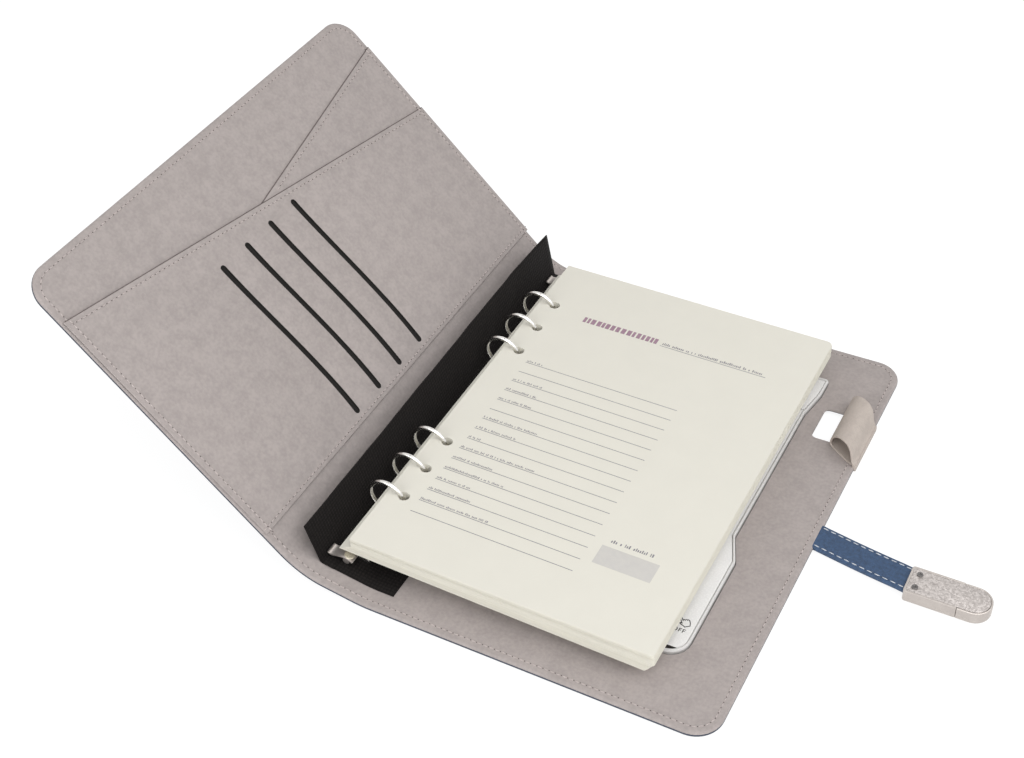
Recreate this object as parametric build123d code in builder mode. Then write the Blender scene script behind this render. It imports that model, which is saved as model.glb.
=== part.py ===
from build123d import *
from math import asin, atan2, cos, degrees, radians, sin, sqrt, tan
import os

# Ring notebook with a power bank under its pages, lying open on a table.
# X runs from the spine to the fore edge, Y along the spine and Z up.
# The origin is the centre of the back cover's outer face, on the table.

# Covers
panel_width = 161.5
front_panel_width = 162.5
cover_height = 242.5
corner_radius = 13.0
skin_thickness = 0.8
board_thickness = 1.6
lining_thickness = 0.6
board_inset = 3.0
glue_gap = 0.02
skin_fold_gap = 0.7
lining_fold_gap = 3.0

# Spine, as it lies at rest
spine_lower_length = 26.5
spine_lower_slope = 9.8
spine_upper_length = 12.0
spine_upper_slope = 31.0
front_slope = 45.85

# Pockets inside the front cover
pocket_inner_edge = 16.0
pocket_thickness = 0.6
slotted_panel_thickness = 0.9
slot_backing_thickness = 0.3
lower_pocket_edge_at_middle = 103.6
lower_pocket_edge_slope = 9.1
upper_pocket_edge_slope = 10.0
pocket_edge_meet_y = -0.6
card_slot_length = 90.3
card_slot_width = 1.7
card_slot_pitch = 18.6
card_slot_count = 4
card_slot_start = 4.7
card_slot_lowest_y = -40.5
slot_backing_margin = 3.0

# Magnet plate and buckle magnet
magnet_plate_size = 22.0
magnet_plate_thickness = 0.8
magnet_plate_from_edge = 24.0
buckle_magnet_radius = 2.8
buckle_magnet_thickness = 1.4
buckle_magnet_from_end = 7.25

# Rings, in the plane of the lower spine
ring_radius = 8.7
ring_wire_radius = 1.0
ring_from_fold = 16.8
ring_height = 12.15
ring_pitch = 19.05
ring_group_start = 35.0
ring_leg_angle = -55.0
ring_split_gap = 0.12
ring_foot_excess = 2.0

# Ring mechanism
cloth_thickness = 0.7
cloth_half_length = 111.5
cloth_left_reach = 9.2
cloth_fold_gap = 3.5
cloth_margin_width = 10.6
plate_half_width = 8.5
plate_rise = 4.9
plate_sheet = 0.6
plate_half_length = 101.0
plate_wire_hole_radius = 1.55
rail_thickness = 0.8
rail_top = 3.0
rail_inner_edge = 0.2
rail_outer_edge = 5.3
rail_end_gap = 1.6
lever_pivot_height = 2.9
lever_pin_radius = 1.0
lever_bore_radius = 1.05
lever_hub_radius = 1.6
lever_end_gap = 0.3
lever_hub_length = 5.6
lever_tongue_reach = 8.9
lever_tongue_right = 3.4
lever_tongue_sheet = 0.7
lever_tongue_width = 5.6
lever_tongue_gap = 0.2
lever_pin_depth = 1.2
lever_crown_height = 0.4
lever_tip_drop = 1.5
lever_tip_lip = 0.65
lever_waist_reach = 5.4
lever_waist_drop = 1.35
lever_crown_reach = 1.5
lever_heel_drop = 0.9
lever_rivet_x = 0.4
lever_rivet_radius = 2.5
lever_rivet_height = 0.6
lever_rivet_sink = 0.25
rivet_radius = 1.5
rivet_head_height = 0.3
rivet_from_end = 11.0
rivet_wall = 0.6
rivet_head_overlap = 0.9
rivet_clearance = 0.8

# Loose cloth flap between the rings and the spine
flap_root_reach = 9.8
flap_root_height = 1.3
flap_root_gap = 0.6
flap_length = 22.0
flap_angle = 103.5

# Pages
page_width = 142.0
page_height = 210.0
page_corner_radius = 3.0
page_edge_from_ring = 1.0
page_hole_radius = 2.5
page_hole_ring_radius = 9.95
stack_top_above_ring = 4.35
stack_height_at_rings = 9.0
stack_height_at_fore_edge = 11.1
stack_top_slope = 0.85
block_count = 5
straight_share = 0.55
lowest_sheet_lag = 3.6
title_sheet_thickness = 0.3

# Power bank
bank_upper_x = 50.75
bank_waist_x = 48.05
bank_lower_x = 53.85
bank_left_x = -46.0
bank_top_y = 95.3
bank_upper_step_y = 84.0
bank_waist_top_y = 68.5
bank_waist_bottom_y = -18.0
bank_lower_step_y = -32.0
bank_bottom_y = -89.0
bank_corner_radius = 9.0
bank_upper_corner_radius = 1.5
bank_window_clearance = 0.2
bank_floor = 0.6
bank_rise_above_lining = 2.2
bezel_width = 2.2
bezel_thickness = 1.2
bezel_chamfer = 0.3
panel_groove = 0.45
panel_drop = 0.25
panel_ledge = 0.9
panel_seam_y = 70.5
panel_seam_gap = 0.35
cell_width = 40.0
cell_length = 112.0
cell_thickness = 2.3
cell_gap = 3.0
cell_centre_y = 24.0
circuit_width = 70.0
circuit_length = 30.0
circuit_thickness = 0.8
circuit_centre_x = 2.0
circuit_centre_y = -58.0
port_width = 8.9
port_height = 2.6
port_depth = 7.3
port_wall = 0.35
port_tongue = 0.7
port_spacing = 22.0
port_centre_x = 20.0
well_left_x = -16.0
well_right_x = 43.5
well_bottom_y = -86.6
well_top_y = -81.8
well_wall = 0.5
well_drop = 0.5
chip_height = 0.9
touch_pad_radius = 5.0
touch_pad_thickness = 0.4
touch_pad_x = 42.1
touch_pad_y = -70.5
light_pipe_radius = 0.8
light_pipe_spacing = 5.0
light_pipe_count = 4
light_pipe_x = 22.0
light_pipe_y = -76.0
bank_screw_radius = 0.8
bank_screw_inset = 5.2
bank_screw_boss_wall = 1.4
cell_corner_radius = 2.0
chip_width = 7.0
chip_length = 5.0
chip_spacing_x = 14.0
chip_spacing_y = 12.0

# Pen loop and the window beside it
window_from_fore_edge = 13.55
window_width = 11.65
window_from_top = 43.05
window_length = 21.2
window_corner_radius = 2.4
loop_from_fore_edge = 15.55
loop_thickness = 0.8
loop_height = 11.0
loop_foot_from_edge = 1.2
loop_widest_share = 0.4
loop_crown_share = 0.45
loop_shoulder_share = 0.86
loop_shoulder_height_share = 0.55
loop_heel = 3.4
loop_from_top = 76.05
loop_length = 30.5
loop_skew = 9.5
loop_edge_wrap = 0.6
loop_foot_width = 3.0
loop_lift = 0.05

# Strap and buckle
strap_width = 13.8
strap_thickness = 2.0
strap_bottom_z = 0.8
strap_root_y = -1.2
strap_end_y = -9.7
strap_end_z = 3.8
strap_tab_depth = 16.0
strap_root_fold_offset = 2.2
strap_fold_gap = 1.2
strap_second_fold = 36.0
strap_tongue_width = 5.2
strap_tongue_depth = 5.2
strap_tongue_overlap = 1.0
buckle_y = -10.8
buckle_width = 15.2
buckle_length = 35.8
buckle_height = 6.4
buckle_lower_rounding = 1.0
strap_reach = 42.0
buckle_corner_radius = 1.2
housing_length = 22.5
housing_slot_clearance = 0.1
top_plate_thickness = 0.7
top_plate_inset = 0.9
plug_width = 12.0
plug_height = 4.5
plug_length = 12.0
plug_wall = 0.35
plug_clearance = 0.2
plug_tongue_thickness = 1.9
plug_tongue_side_gap = 0.3
drive_seam_gap = 0.12
drive_slide_gap = 0.05
buckle_screw_radius = 0.9
buckle_screw_depth = 1.5
buckle_screw_head_radius = 1.35
buckle_screw_head_height = 0.4
buckle_screw_slot = 0.35
buckle_screw_from_end = 4.0
buckle_screw_spacing = 7.5

os.makedirs("parts", exist_ok=True)

# Levels through the thickness of a cover, from its outer face
board_bottom = skin_thickness
board_top = board_bottom + board_thickness
cover_thickness = board_top + lining_thickness
fold_height = skin_thickness / 2
inner_above_fold = cover_thickness - fold_height

half_height = cover_height / 2
fore_x = panel_width / 2
fold_x = -panel_width / 2
window_right_x = fore_x - window_from_fore_edge
window_left_x = window_right_x - window_width
window_top_y = half_height - window_from_top
window_bottom_y = window_top_y - window_length
loop_left_x = fore_x - loop_from_fore_edge
loop_bottom_y = half_height - loop_from_top
rail_half_length = plate_half_length - rail_end_gap
rivet_from_middle = plate_half_length - rivet_from_end
rivet_places = [(0, -rivet_from_middle), (0, rivet_from_middle)]
buckle_left_x = fore_x + strap_reach


def save(part, label):
    """Name a finished piece and write it to its own file."""
    part.label = label
    export_step(part, "parts/" + label + ".step")


# Planes that follow the spine and the front cover
lower_run = Vector(-cos(radians(spine_lower_slope)), 0, sin(radians(spine_lower_slope)))
upper_run = Vector(-cos(radians(spine_upper_slope)), 0, sin(radians(spine_upper_slope)))
lower_up = Vector(sin(radians(spine_lower_slope)), 0, cos(radians(spine_lower_slope)))
front_up = Vector(sin(radians(front_slope)), 0, cos(radians(front_slope)))
back_fold = Vector(fold_x, 0, fold_height)
spine_bend = back_fold + lower_run * spine_lower_length
front_fold = spine_bend + upper_run * spine_upper_length
front_run = Vector(cos(radians(front_slope)), 0, -sin(radians(front_slope)))
ring_foot = back_fold + lower_run * ring_from_fold + lower_up * inner_above_fold
spine_plane = Plane(origin=ring_foot, x_dir=lower_run * -1, z_dir=lower_up)
spine_section = Plane(origin=ring_foot, x_dir=lower_run * -1, z_dir=(0, -1, 0))
front_plane = Plane(origin=front_fold - front_up * fold_height, x_dir=front_run, z_dir=front_up)
ring_centre = ring_foot + lower_up * ring_height
ring_places = [side * (ring_group_start + ring_pitch * step) for side in (-1, 1) for step in range(3)]


# Cover outlines: straight at the fold, rounded at the fore edge
def cover_outline(width, gap, inset, radius, mirrored):
    """Sketch a cover sheet whose fold is on its left, or on its right where mirrored."""
    sign = -1 if mirrored else 1
    near = sign * (gap - width / 2)
    far = sign * (width / 2 - inset)
    top = half_height - inset
    with BuildSketch() as outline:
        with BuildLine():
            Polyline((near, top), (near, -top), (far, -top), (far, top), close=True)
        make_face()
        corners = [v for v in outline.vertices() if abs(v.X - far) < 0.01]
        fillet(corners, radius - inset)
    return outline.sketch


def window_cut(clearance):
    """Cut the rounded window beside the pen loop."""
    centre = ((window_left_x + window_right_x) / 2, (window_bottom_y + window_top_y) / 2)
    with Locations(centre):
        RectangleRounded(
            window_right_x - window_left_x + 2 * clearance,
            window_top_y - window_bottom_y + 2 * clearance,
            window_corner_radius,
            mode=Mode.SUBTRACT,
        )


# Power bank outline: waisted along the fore edge side
def bank_outline(grow):
    """Sketch the power bank's outline, grown outwards or inwards."""
    with BuildSketch() as outline:
        with BuildLine():
            Polyline(
                (bank_left_x, bank_top_y),
                (bank_left_x, bank_bottom_y),
                (bank_lower_x, bank_bottom_y),
                (bank_lower_x, bank_lower_step_y),
                (bank_waist_x, bank_waist_bottom_y),
                (bank_waist_x, bank_waist_top_y),
                (bank_upper_x, bank_upper_step_y),
                (bank_upper_x, bank_top_y),
                close=True,
            )
        make_face()
        corners = outline.vertices()
        wide = [v for v in corners if v.Y < bank_bottom_y + 1 or v.X < bank_left_x + 1]
        sharp = [v for v in corners if v.X > bank_left_x + 1 and v.Y > bank_top_y - 1]
        fillet(wide, bank_corner_radius)
        fillet(sharp, bank_upper_corner_radius)
        if grow != 0:
            offset(amount=grow, mode=Mode.REPLACE)
    return outline.sketch


bank_window = bank_outline(bank_window_clearance)

# Back cover
with BuildPart() as back_skin:
    with BuildSketch():
        add(cover_outline(panel_width, skin_fold_gap, 0, corner_radius, False))
        window_cut(0)
    extrude(amount=skin_thickness)
save(back_skin.part, "back_cover_skin")

with BuildPart() as back_board:
    with BuildSketch(Plane.XY.offset(board_bottom)):
        add(cover_outline(panel_width, lining_fold_gap, board_inset, corner_radius, False))
        window_cut(board_inset / 2)
        add(bank_window, mode=Mode.SUBTRACT)
        with Locations((fore_x - strap_tab_depth / 2, strap_root_y)):
            Rectangle(strap_tab_depth, strap_width, mode=Mode.SUBTRACT)
    extrude(amount=board_thickness)
save(back_board.part, "back_cover_board")

with BuildPart() as back_lining:
    with BuildSketch(Plane.XY.offset(board_bottom)):
        add(cover_outline(panel_width, lining_fold_gap, 0, corner_radius, False))
        window_cut(0)
        add(bank_window, mode=Mode.SUBTRACT)
    extrude(amount=board_thickness + lining_thickness)
    with BuildSketch(Plane.XY.offset(board_bottom)):
        add(cover_outline(panel_width, lining_fold_gap, board_inset, corner_radius, False))
        window_cut(board_inset / 2)
    extrude(amount=board_thickness, mode=Mode.SUBTRACT)
    with BuildSketch(Plane.XY.offset(board_bottom)):
        with Locations((fore_x - strap_tab_depth / 2, strap_root_y)):
            Rectangle(strap_tab_depth, strap_width)
    extrude(amount=strap_bottom_z + strap_thickness - board_bottom, mode=Mode.SUBTRACT)
save(back_lining.part, "back_cover_lining")


# Pen loop: a strip of leather bent into a drop-shaped tube, leaning along the edge
def loop_profile(wall):
    """Sketch the drop-shaped section of the pen loop, seen along the spine, set in by a wall."""
    left = loop_left_x + wall
    right = fore_x - loop_foot_from_edge - 2 * wall
    base = cover_thickness + loop_lift + wall
    width = right - left
    height = loop_height - 2 * wall
    heel = (left + loop_heel, base)
    crown = (left + loop_crown_share * width, base + height)
    side = (left, base + loop_widest_share * height)
    shoulder = (left + loop_shoulder_share * width, base + loop_shoulder_height_share * height)
    with BuildSketch() as profile:
        with BuildLine():
            Line((right, base), heel)
            ThreePointArc(heel, side, crown)
            ThreePointArc(crown, shoulder, (right, base))
        make_face()
    return profile.sketch


with BuildPart() as pen_loop:
    with BuildSketch(Plane.XZ.offset(-loop_bottom_y + loop_skew)):
        add(loop_profile(0))
    extrude(amount=-(loop_length + 3 * loop_skew))
    with BuildSketch(Plane.XZ.offset(-loop_bottom_y + 2 * loop_skew)):
        add(loop_profile(loop_thickness))
    extrude(amount=-(loop_length + 5 * loop_skew), mode=Mode.SUBTRACT)
    lean = [
        (fore_x + 1, loop_bottom_y),
        (fore_x + 1, loop_bottom_y + loop_length),
        (loop_left_x - 1, loop_bottom_y + loop_length + loop_skew),
        (loop_left_x - 1, loop_bottom_y + loop_skew),
    ]
    with BuildSketch():
        with BuildLine():
            Polyline(*lean, close=True)
        make_face()
    extrude(amount=3 * loop_height, mode=Mode.INTERSECT)
    with BuildSketch(Plane.XY.offset(skin_thickness)):
        with Locations((fore_x + loop_edge_wrap / 2 + loop_lift, loop_bottom_y + loop_length / 2)):
            Rectangle(loop_edge_wrap, loop_length)
    extrude(amount=cover_thickness + loop_lift + loop_thickness - skin_thickness)
    with BuildSketch(Plane.XY.offset(cover_thickness + loop_lift)):
        with Locations((fore_x + loop_edge_wrap - loop_foot_width / 2, loop_bottom_y + loop_length / 2)):
            Rectangle(loop_foot_width, loop_length)
    extrude(amount=loop_thickness)
save(pen_loop.part, "pen_loop")

# Power bank, sunk through the lining and board to rest on the skin
bank_bottom_z = board_bottom
bank_top_z = cover_thickness + bank_rise_above_lining
bezel_bottom_z = bank_top_z - bezel_thickness
panel_top_z = bank_top_z - panel_drop
panel_thickness = panel_top_z - bezel_bottom_z
bank_floor_z = bank_bottom_z + bank_floor
wall_width = bezel_width + panel_groove + panel_ledge
well_width = well_right_x - well_left_x
well_depth = well_top_y - well_bottom_y
well_middle = ((well_left_x + well_right_x) / 2, (well_bottom_y + well_top_y) / 2)
port_mouth_y = well_top_y - well_wall
port_middle_z = bank_floor_z + port_height / 2
port_x = [port_centre_x - port_spacing / 2, port_centre_x + port_spacing / 2]
screw_x = [bank_left_x + bank_screw_inset, bank_waist_x - bank_screw_inset]
screw_y = [bank_bottom_y + 2 * bank_screw_inset, bank_top_y - bank_screw_inset]
bank_screw_places = [(x, y) for x in screw_x for y in screw_y]
light_pipe_places = [(light_pipe_x + k * light_pipe_spacing, light_pipe_y) for k in range(light_pipe_count)]

with BuildPart() as bank_tray:
    with BuildSketch(Plane.XY.offset(bank_bottom_z)):
        add(bank_outline(0))
    extrude(amount=bezel_bottom_z - bank_bottom_z)
    with BuildSketch(Plane.XY.offset(bank_floor_z)):
        add(bank_outline(-wall_width))
        with Locations(well_middle):
            Rectangle(well_width, well_depth)
    extrude(amount=bank_top_z, mode=Mode.SUBTRACT)
    with BuildSketch(Plane.XY.offset(bank_floor_z)):
        with Locations(*bank_screw_places):
            Circle(bank_screw_radius + bank_screw_boss_wall)
    extrude(amount=bezel_bottom_z - bank_floor_z)
    with BuildSketch(Plane.XY.offset(bank_floor_z)):
        with Locations(*bank_screw_places):
            Circle(bank_screw_radius)
    extrude(amount=bezel_bottom_z - bank_floor_z, mode=Mode.SUBTRACT)
save(bank_tray.part, "power_bank_tray")

with BuildPart() as bank_bezel:
    with BuildSketch(Plane.XY.offset(bezel_bottom_z)):
        add(bank_outline(0))
        add(bank_outline(-bezel_width), mode=Mode.SUBTRACT)
    extrude(amount=bezel_thickness)
    chamfer(bank_bezel.edges().group_by(Axis.Z)[-1], bezel_chamfer)
save(bank_bezel.part, "power_bank_bezel")


def bank_panel(from_y, to_y):
    """Sketch one of the two panels that lie flush inside the bezel."""
    with BuildSketch() as sheet:
        add(bank_outline(-bezel_width - panel_groove))
        with Locations((0, (from_y + to_y) / 2)):
            Rectangle(2 * panel_width, to_y - from_y, mode=Mode.INTERSECT)
    return sheet.sketch


with BuildPart() as main_panel:
    with BuildSketch(Plane.XY.offset(bezel_bottom_z)):
        add(bank_panel(bank_bottom_y, panel_seam_y - panel_seam_gap / 2))
        with Locations(well_middle):
            Rectangle(well_width + 2 * panel_seam_gap, well_depth + 2 * panel_seam_gap, mode=Mode.SUBTRACT)
        with Locations(*light_pipe_places):
            Circle(light_pipe_radius, mode=Mode.SUBTRACT)
    extrude(amount=panel_thickness)
save(main_panel.part, "power_bank_panel")

with BuildPart() as end_panel:
    with BuildSketch(Plane.XY.offset(bezel_bottom_z)):
        add(bank_panel(panel_seam_y + panel_seam_gap / 2, bank_top_y))
    extrude(amount=panel_thickness)
save(end_panel.part, "power_bank_end_panel")

with BuildPart() as port_well:
    with BuildSketch(Plane.XY.offset(bank_floor_z)):
        with Locations(well_middle):
            Rectangle(well_width, well_depth)
    extrude(amount=panel_top_z - well_drop - bank_floor_z)
    with BuildSketch(Plane.XY.offset(bank_floor_z + well_wall)):
        with Locations(well_middle):
            Rectangle(well_width - 2 * well_wall, well_depth - 2 * well_wall)
    extrude(amount=bank_top_z, mode=Mode.SUBTRACT)
    with BuildSketch(Plane.XZ.offset(-port_mouth_y)):
        with Locations(*[(x, port_middle_z) for x in port_x]):
            SlotOverall(port_width, port_height)
    extrude(amount=-well_wall, mode=Mode.SUBTRACT)
save(port_well.part, "port_well")

cell_middle_x = (bank_left_x + bank_waist_x) / 2
with BuildPart() as battery_cells:
    with BuildSketch(Plane.XY.offset(bank_floor_z)):
        with Locations((cell_middle_x, cell_centre_y)):
            with GridLocations(cell_width + cell_gap, 1, 2, 1):
                RectangleRounded(cell_width, cell_length, cell_corner_radius)
    extrude(amount=cell_thickness)
save(battery_cells.part, "battery_cells")

with BuildPart() as circuit_board:
    with BuildSketch(Plane.XY.offset(bank_floor_z)):
        with Locations((circuit_centre_x, circuit_centre_y)):
            Rectangle(circuit_width, circuit_length)
    extrude(amount=circuit_thickness)
    with BuildSketch(Plane.XY.offset(bank_floor_z + circuit_thickness)):
        with Locations((circuit_centre_x, circuit_centre_y)):
            with GridLocations(chip_spacing_x, chip_spacing_y, 4, 2):
                Rectangle(chip_width, chip_length)
    extrude(amount=chip_height)
save(circuit_board.part, "circuit_board")

with BuildPart() as charging_ports:
    with BuildSketch(Plane.XZ.offset(-port_mouth_y)):
        with Locations(*[(x, port_middle_z) for x in port_x]):
            SlotOverall(port_width, port_height)
            SlotOverall(port_width - 2 * port_wall, port_height - 2 * port_wall, mode=Mode.SUBTRACT)
            Rectangle(port_width - 2 * port_height, port_tongue)
    extrude(amount=-port_depth)
    with BuildSketch(Plane.XZ.offset(-port_mouth_y - port_depth)):
        with Locations(*[(x, port_middle_z) for x in port_x]):
            SlotOverall(port_width, port_height)
    extrude(amount=-port_wall)
save(charging_ports.part, "charging_ports")

with BuildPart() as touch_pad:
    with BuildSketch(Plane.XY.offset(bezel_bottom_z - touch_pad_thickness)):
        with Locations((touch_pad_x, touch_pad_y)):
            Circle(touch_pad_radius)
    extrude(amount=touch_pad_thickness)
save(touch_pad.part, "touch_sensor_pad")

with BuildPart() as light_pipes:
    with BuildSketch(Plane.XY.offset(bezel_bottom_z)):
        with Locations(*light_pipe_places):
            Circle(light_pipe_radius - glue_gap)
    extrude(amount=panel_thickness)
save(light_pipes.part, "charge_indicators")

with BuildPart() as bank_screws:
    with BuildSketch(Plane.XY.offset(bank_floor_z)):
        with Locations(*bank_screw_places):
            Circle(bank_screw_radius - glue_gap)
    extrude(amount=bezel_bottom_z - bank_floor_z)
save(bank_screws.part, "power_bank_screws")


# Spine: skin, board and lining follow one bent line
def spine_point(distance, level):
    """Give the section point at a distance from the back fold, at a level above the fold line."""
    half_turn = tan(radians((spine_upper_slope - spine_lower_slope) / 2))
    bend_at = spine_lower_length - level * half_turn
    along = min(distance, bend_at)
    beyond = max(0.0, distance - bend_at)
    point = back_fold + lower_run * along + lower_up * level + upper_run * beyond
    return (point.X, point.Z)


def spine_sheet(bottom, top, gap, inset, label):
    """Make one bent sheet of the spine between two levels above the fold line."""
    length = spine_lower_length + spine_upper_length - gap
    half_turn = tan(radians((spine_upper_slope - spine_lower_slope) / 2))
    bends = [spine_lower_length - level * half_turn for level in (bottom, top)]
    with BuildPart() as sheet:
        with BuildSketch(Plane.XZ):
            with BuildLine():
                Polyline(
                    spine_point(gap, bottom),
                    spine_point(bends[0], bottom),
                    spine_point(length - 2 * (spine_lower_length - bends[0]), bottom),
                    spine_point(length - 2 * (spine_lower_length - bends[1]), top),
                    spine_point(bends[1], top),
                    spine_point(gap, top),
                    close=True,
                )
            make_face()
        extrude(amount=half_height - inset, both=True)
        with Locations(spine_plane):
            with Locations(*rivet_places):
                Cylinder(rivet_radius, 4 * cover_thickness, mode=Mode.SUBTRACT)
    save(sheet.part, label)


spine_sheet(-fold_height, fold_height, skin_fold_gap, 0, "spine_skin")
spine_sheet(fold_height, inner_above_fold - lining_thickness, lining_fold_gap, board_inset, "spine_board")
spine_sheet(inner_above_fold - lining_thickness, inner_above_fold, lining_fold_gap, 0, "spine_lining")

# Black cloth under the rings, and its margin glued to the back cover
with BuildPart() as cloth_base:
    cloth_right = ring_from_fold - cloth_fold_gap
    with BuildSketch(spine_plane):
        with Locations(((cloth_right - cloth_left_reach) / 2, 0)):
            Rectangle(cloth_right + cloth_left_reach, 2 * cloth_half_length)
        with Locations(*rivet_places):
            Circle(rivet_radius, mode=Mode.SUBTRACT)
    extrude(amount=cloth_thickness)
save(cloth_base.part, "ring_cloth_base")

with BuildPart() as cloth_margin:
    with BuildSketch(Plane.XY.offset(cover_thickness)):
        with Locations((fold_x + cloth_fold_gap + (cloth_margin_width - cloth_fold_gap) / 2, 0)):
            Rectangle(cloth_margin_width - cloth_fold_gap, 2 * cloth_half_length)
    extrude(amount=cloth_thickness)
save(cloth_margin.part, "ring_cloth_margin")

# Ring cover plate: an arched sheet with holes for the ring wires
arch_radius = (plate_half_width**2 + plate_rise**2) / (2 * plate_rise)
arch_centre = cloth_thickness + plate_rise - arch_radius
leg_foot_x = ring_radius * cos(radians(ring_leg_angle))
leg_foot_z = ring_height + ring_radius * sin(radians(ring_leg_angle))
leg_length = (leg_foot_z - rail_top) / cos(radians(ring_leg_angle))
leg_end_x = leg_foot_x + leg_length * sin(radians(ring_leg_angle))

with BuildPart() as cover_plate:
    with BuildSketch(spine_section):
        with BuildLine():
            outer_left = (-plate_half_width, cloth_thickness)
            outer_right = (plate_half_width, cloth_thickness)
            inner_reach = sqrt((arch_radius - plate_sheet) ** 2 - (cloth_thickness - arch_centre) ** 2)
            ThreePointArc(outer_left, (0, cloth_thickness + plate_rise), outer_right)
            Line(outer_right, (inner_reach, cloth_thickness))
            ThreePointArc(
                (inner_reach, cloth_thickness),
                (0, cloth_thickness + plate_rise - plate_sheet),
                (-inner_reach, cloth_thickness),
            )
            Line((-inner_reach, cloth_thickness), outer_left)
        make_face()
    extrude(amount=plate_half_length, both=True)
    with BuildSketch(spine_section.offset(plate_half_length - plate_sheet)):
        with BuildLine():
            ThreePointArc(outer_left, (0, cloth_thickness + plate_rise), outer_right)
            Line(outer_right, outer_left)
        make_face()
    extrude(amount=plate_sheet)
    with BuildSketch(spine_section.offset(-plate_half_length)):
        with BuildLine():
            ThreePointArc(outer_left, (0, cloth_thickness + plate_rise), outer_right)
            Line(outer_right, outer_left)
        make_face()
    extrude(amount=plate_sheet)
    with BuildSketch(spine_section):
        with Locations((0, lever_pivot_height)):
            Circle(lever_bore_radius)
    extrude(amount=plate_half_length + 1, both=True, mode=Mode.SUBTRACT)
    for ring_y in ring_places:
        for side in (-1, 1):
            hole_plane = Plane(
                origin=spine_plane.from_local_coords((side * (leg_foot_x + leg_end_x) / 2, ring_y, 0)),
                x_dir=spine_plane.x_dir,
                z_dir=spine_plane.z_dir,
            )
            with BuildSketch(hole_plane):
                SlotOverall(2 * plate_wire_hole_radius + 2.2, 2 * plate_wire_hole_radius)
            extrude(amount=2 * plate_rise, mode=Mode.SUBTRACT)
    with BuildSketch(spine_plane):
        with Locations(*rivet_places):
            Circle(rivet_radius)
    extrude(amount=2 * plate_rise, mode=Mode.SUBTRACT)
save(cover_plate.part, "ring_cover_plate")

# Hollow rivets that hold the plate to the spine
rivet_top = cloth_thickness + plate_rise
with BuildPart() as mechanism_rivets:
    with BuildSketch(spine_plane.offset(-cover_thickness)):
        with Locations(*rivet_places):
            Circle(rivet_radius - glue_gap)
            Circle(rivet_radius - rivet_wall, mode=Mode.SUBTRACT)
    extrude(amount=cover_thickness + rivet_top + glue_gap)
    with BuildSketch(spine_plane.offset(rivet_top + glue_gap)):
        with Locations(*rivet_places):
            Circle(rivet_radius + rivet_head_overlap)
            Circle(rivet_radius - rivet_wall, mode=Mode.SUBTRACT)
    extrude(amount=rivet_head_height)
save(mechanism_rivets.part, "mechanism_rivets")


# Rails and half rings: one side of each ring opens left, the other right
def ring_side(side, rail_label, ring_label):
    """Make one rail and its half rings; side is -1 for the left and 1 for the right."""
    rail_bottom = rail_top - rail_thickness
    with BuildPart() as rail:
        with BuildSketch(spine_plane.offset(rail_bottom)):
            with Locations((side * (rail_inner_edge + rail_outer_edge) / 2, 0)):
                Rectangle(rail_outer_edge - rail_inner_edge, 2 * rail_half_length)
            with Locations(*rivet_places):
                Circle(rivet_radius + rivet_clearance, mode=Mode.SUBTRACT)
        extrude(amount=rail_thickness)
    save(rail.part, rail_label)
    split_lift = degrees(asin(ring_split_gap / 2 / ring_radius))
    with BuildPart() as half_rings:
        for ring_y in ring_places:
            ring_plane = Plane(
                origin=spine_plane.from_local_coords((0, ring_y, ring_height)),
                x_dir=spine_plane.x_dir,
                z_dir=spine_section.z_dir,
            )
            with BuildLine(ring_plane) as path:
                if side > 0:
                    arc = CenterArc((0, 0), ring_radius, 90 - split_lift, ring_leg_angle - 90 + split_lift)
                else:
                    arc = CenterArc((0, 0), ring_radius, 90 + split_lift, 90 - ring_leg_angle - split_lift)
                foot_reach = leg_foot_x + (leg_length + ring_foot_excess) * sin(radians(ring_leg_angle))
                foot_drop = ring_height - rail_top + ring_foot_excess * cos(radians(ring_leg_angle))
                foot = (side * foot_reach, -foot_drop)
                Line(arc @ 1, foot)
            with BuildSketch(Plane(origin=path.wire() @ 0, z_dir=path.wire() % 0)):
                Circle(ring_wire_radius)
            sweep(path=path.wire())
        with BuildSketch(spine_plane.offset(rail_top)):
            Rectangle(6 * ring_radius, 3 * page_height)
        extrude(amount=4 * ring_radius, mode=Mode.INTERSECT)
    save(half_rings.part, ring_label)


ring_side(-1, "rail_left", "half_rings_left")
ring_side(1, "rail_right", "half_rings_right")


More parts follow.
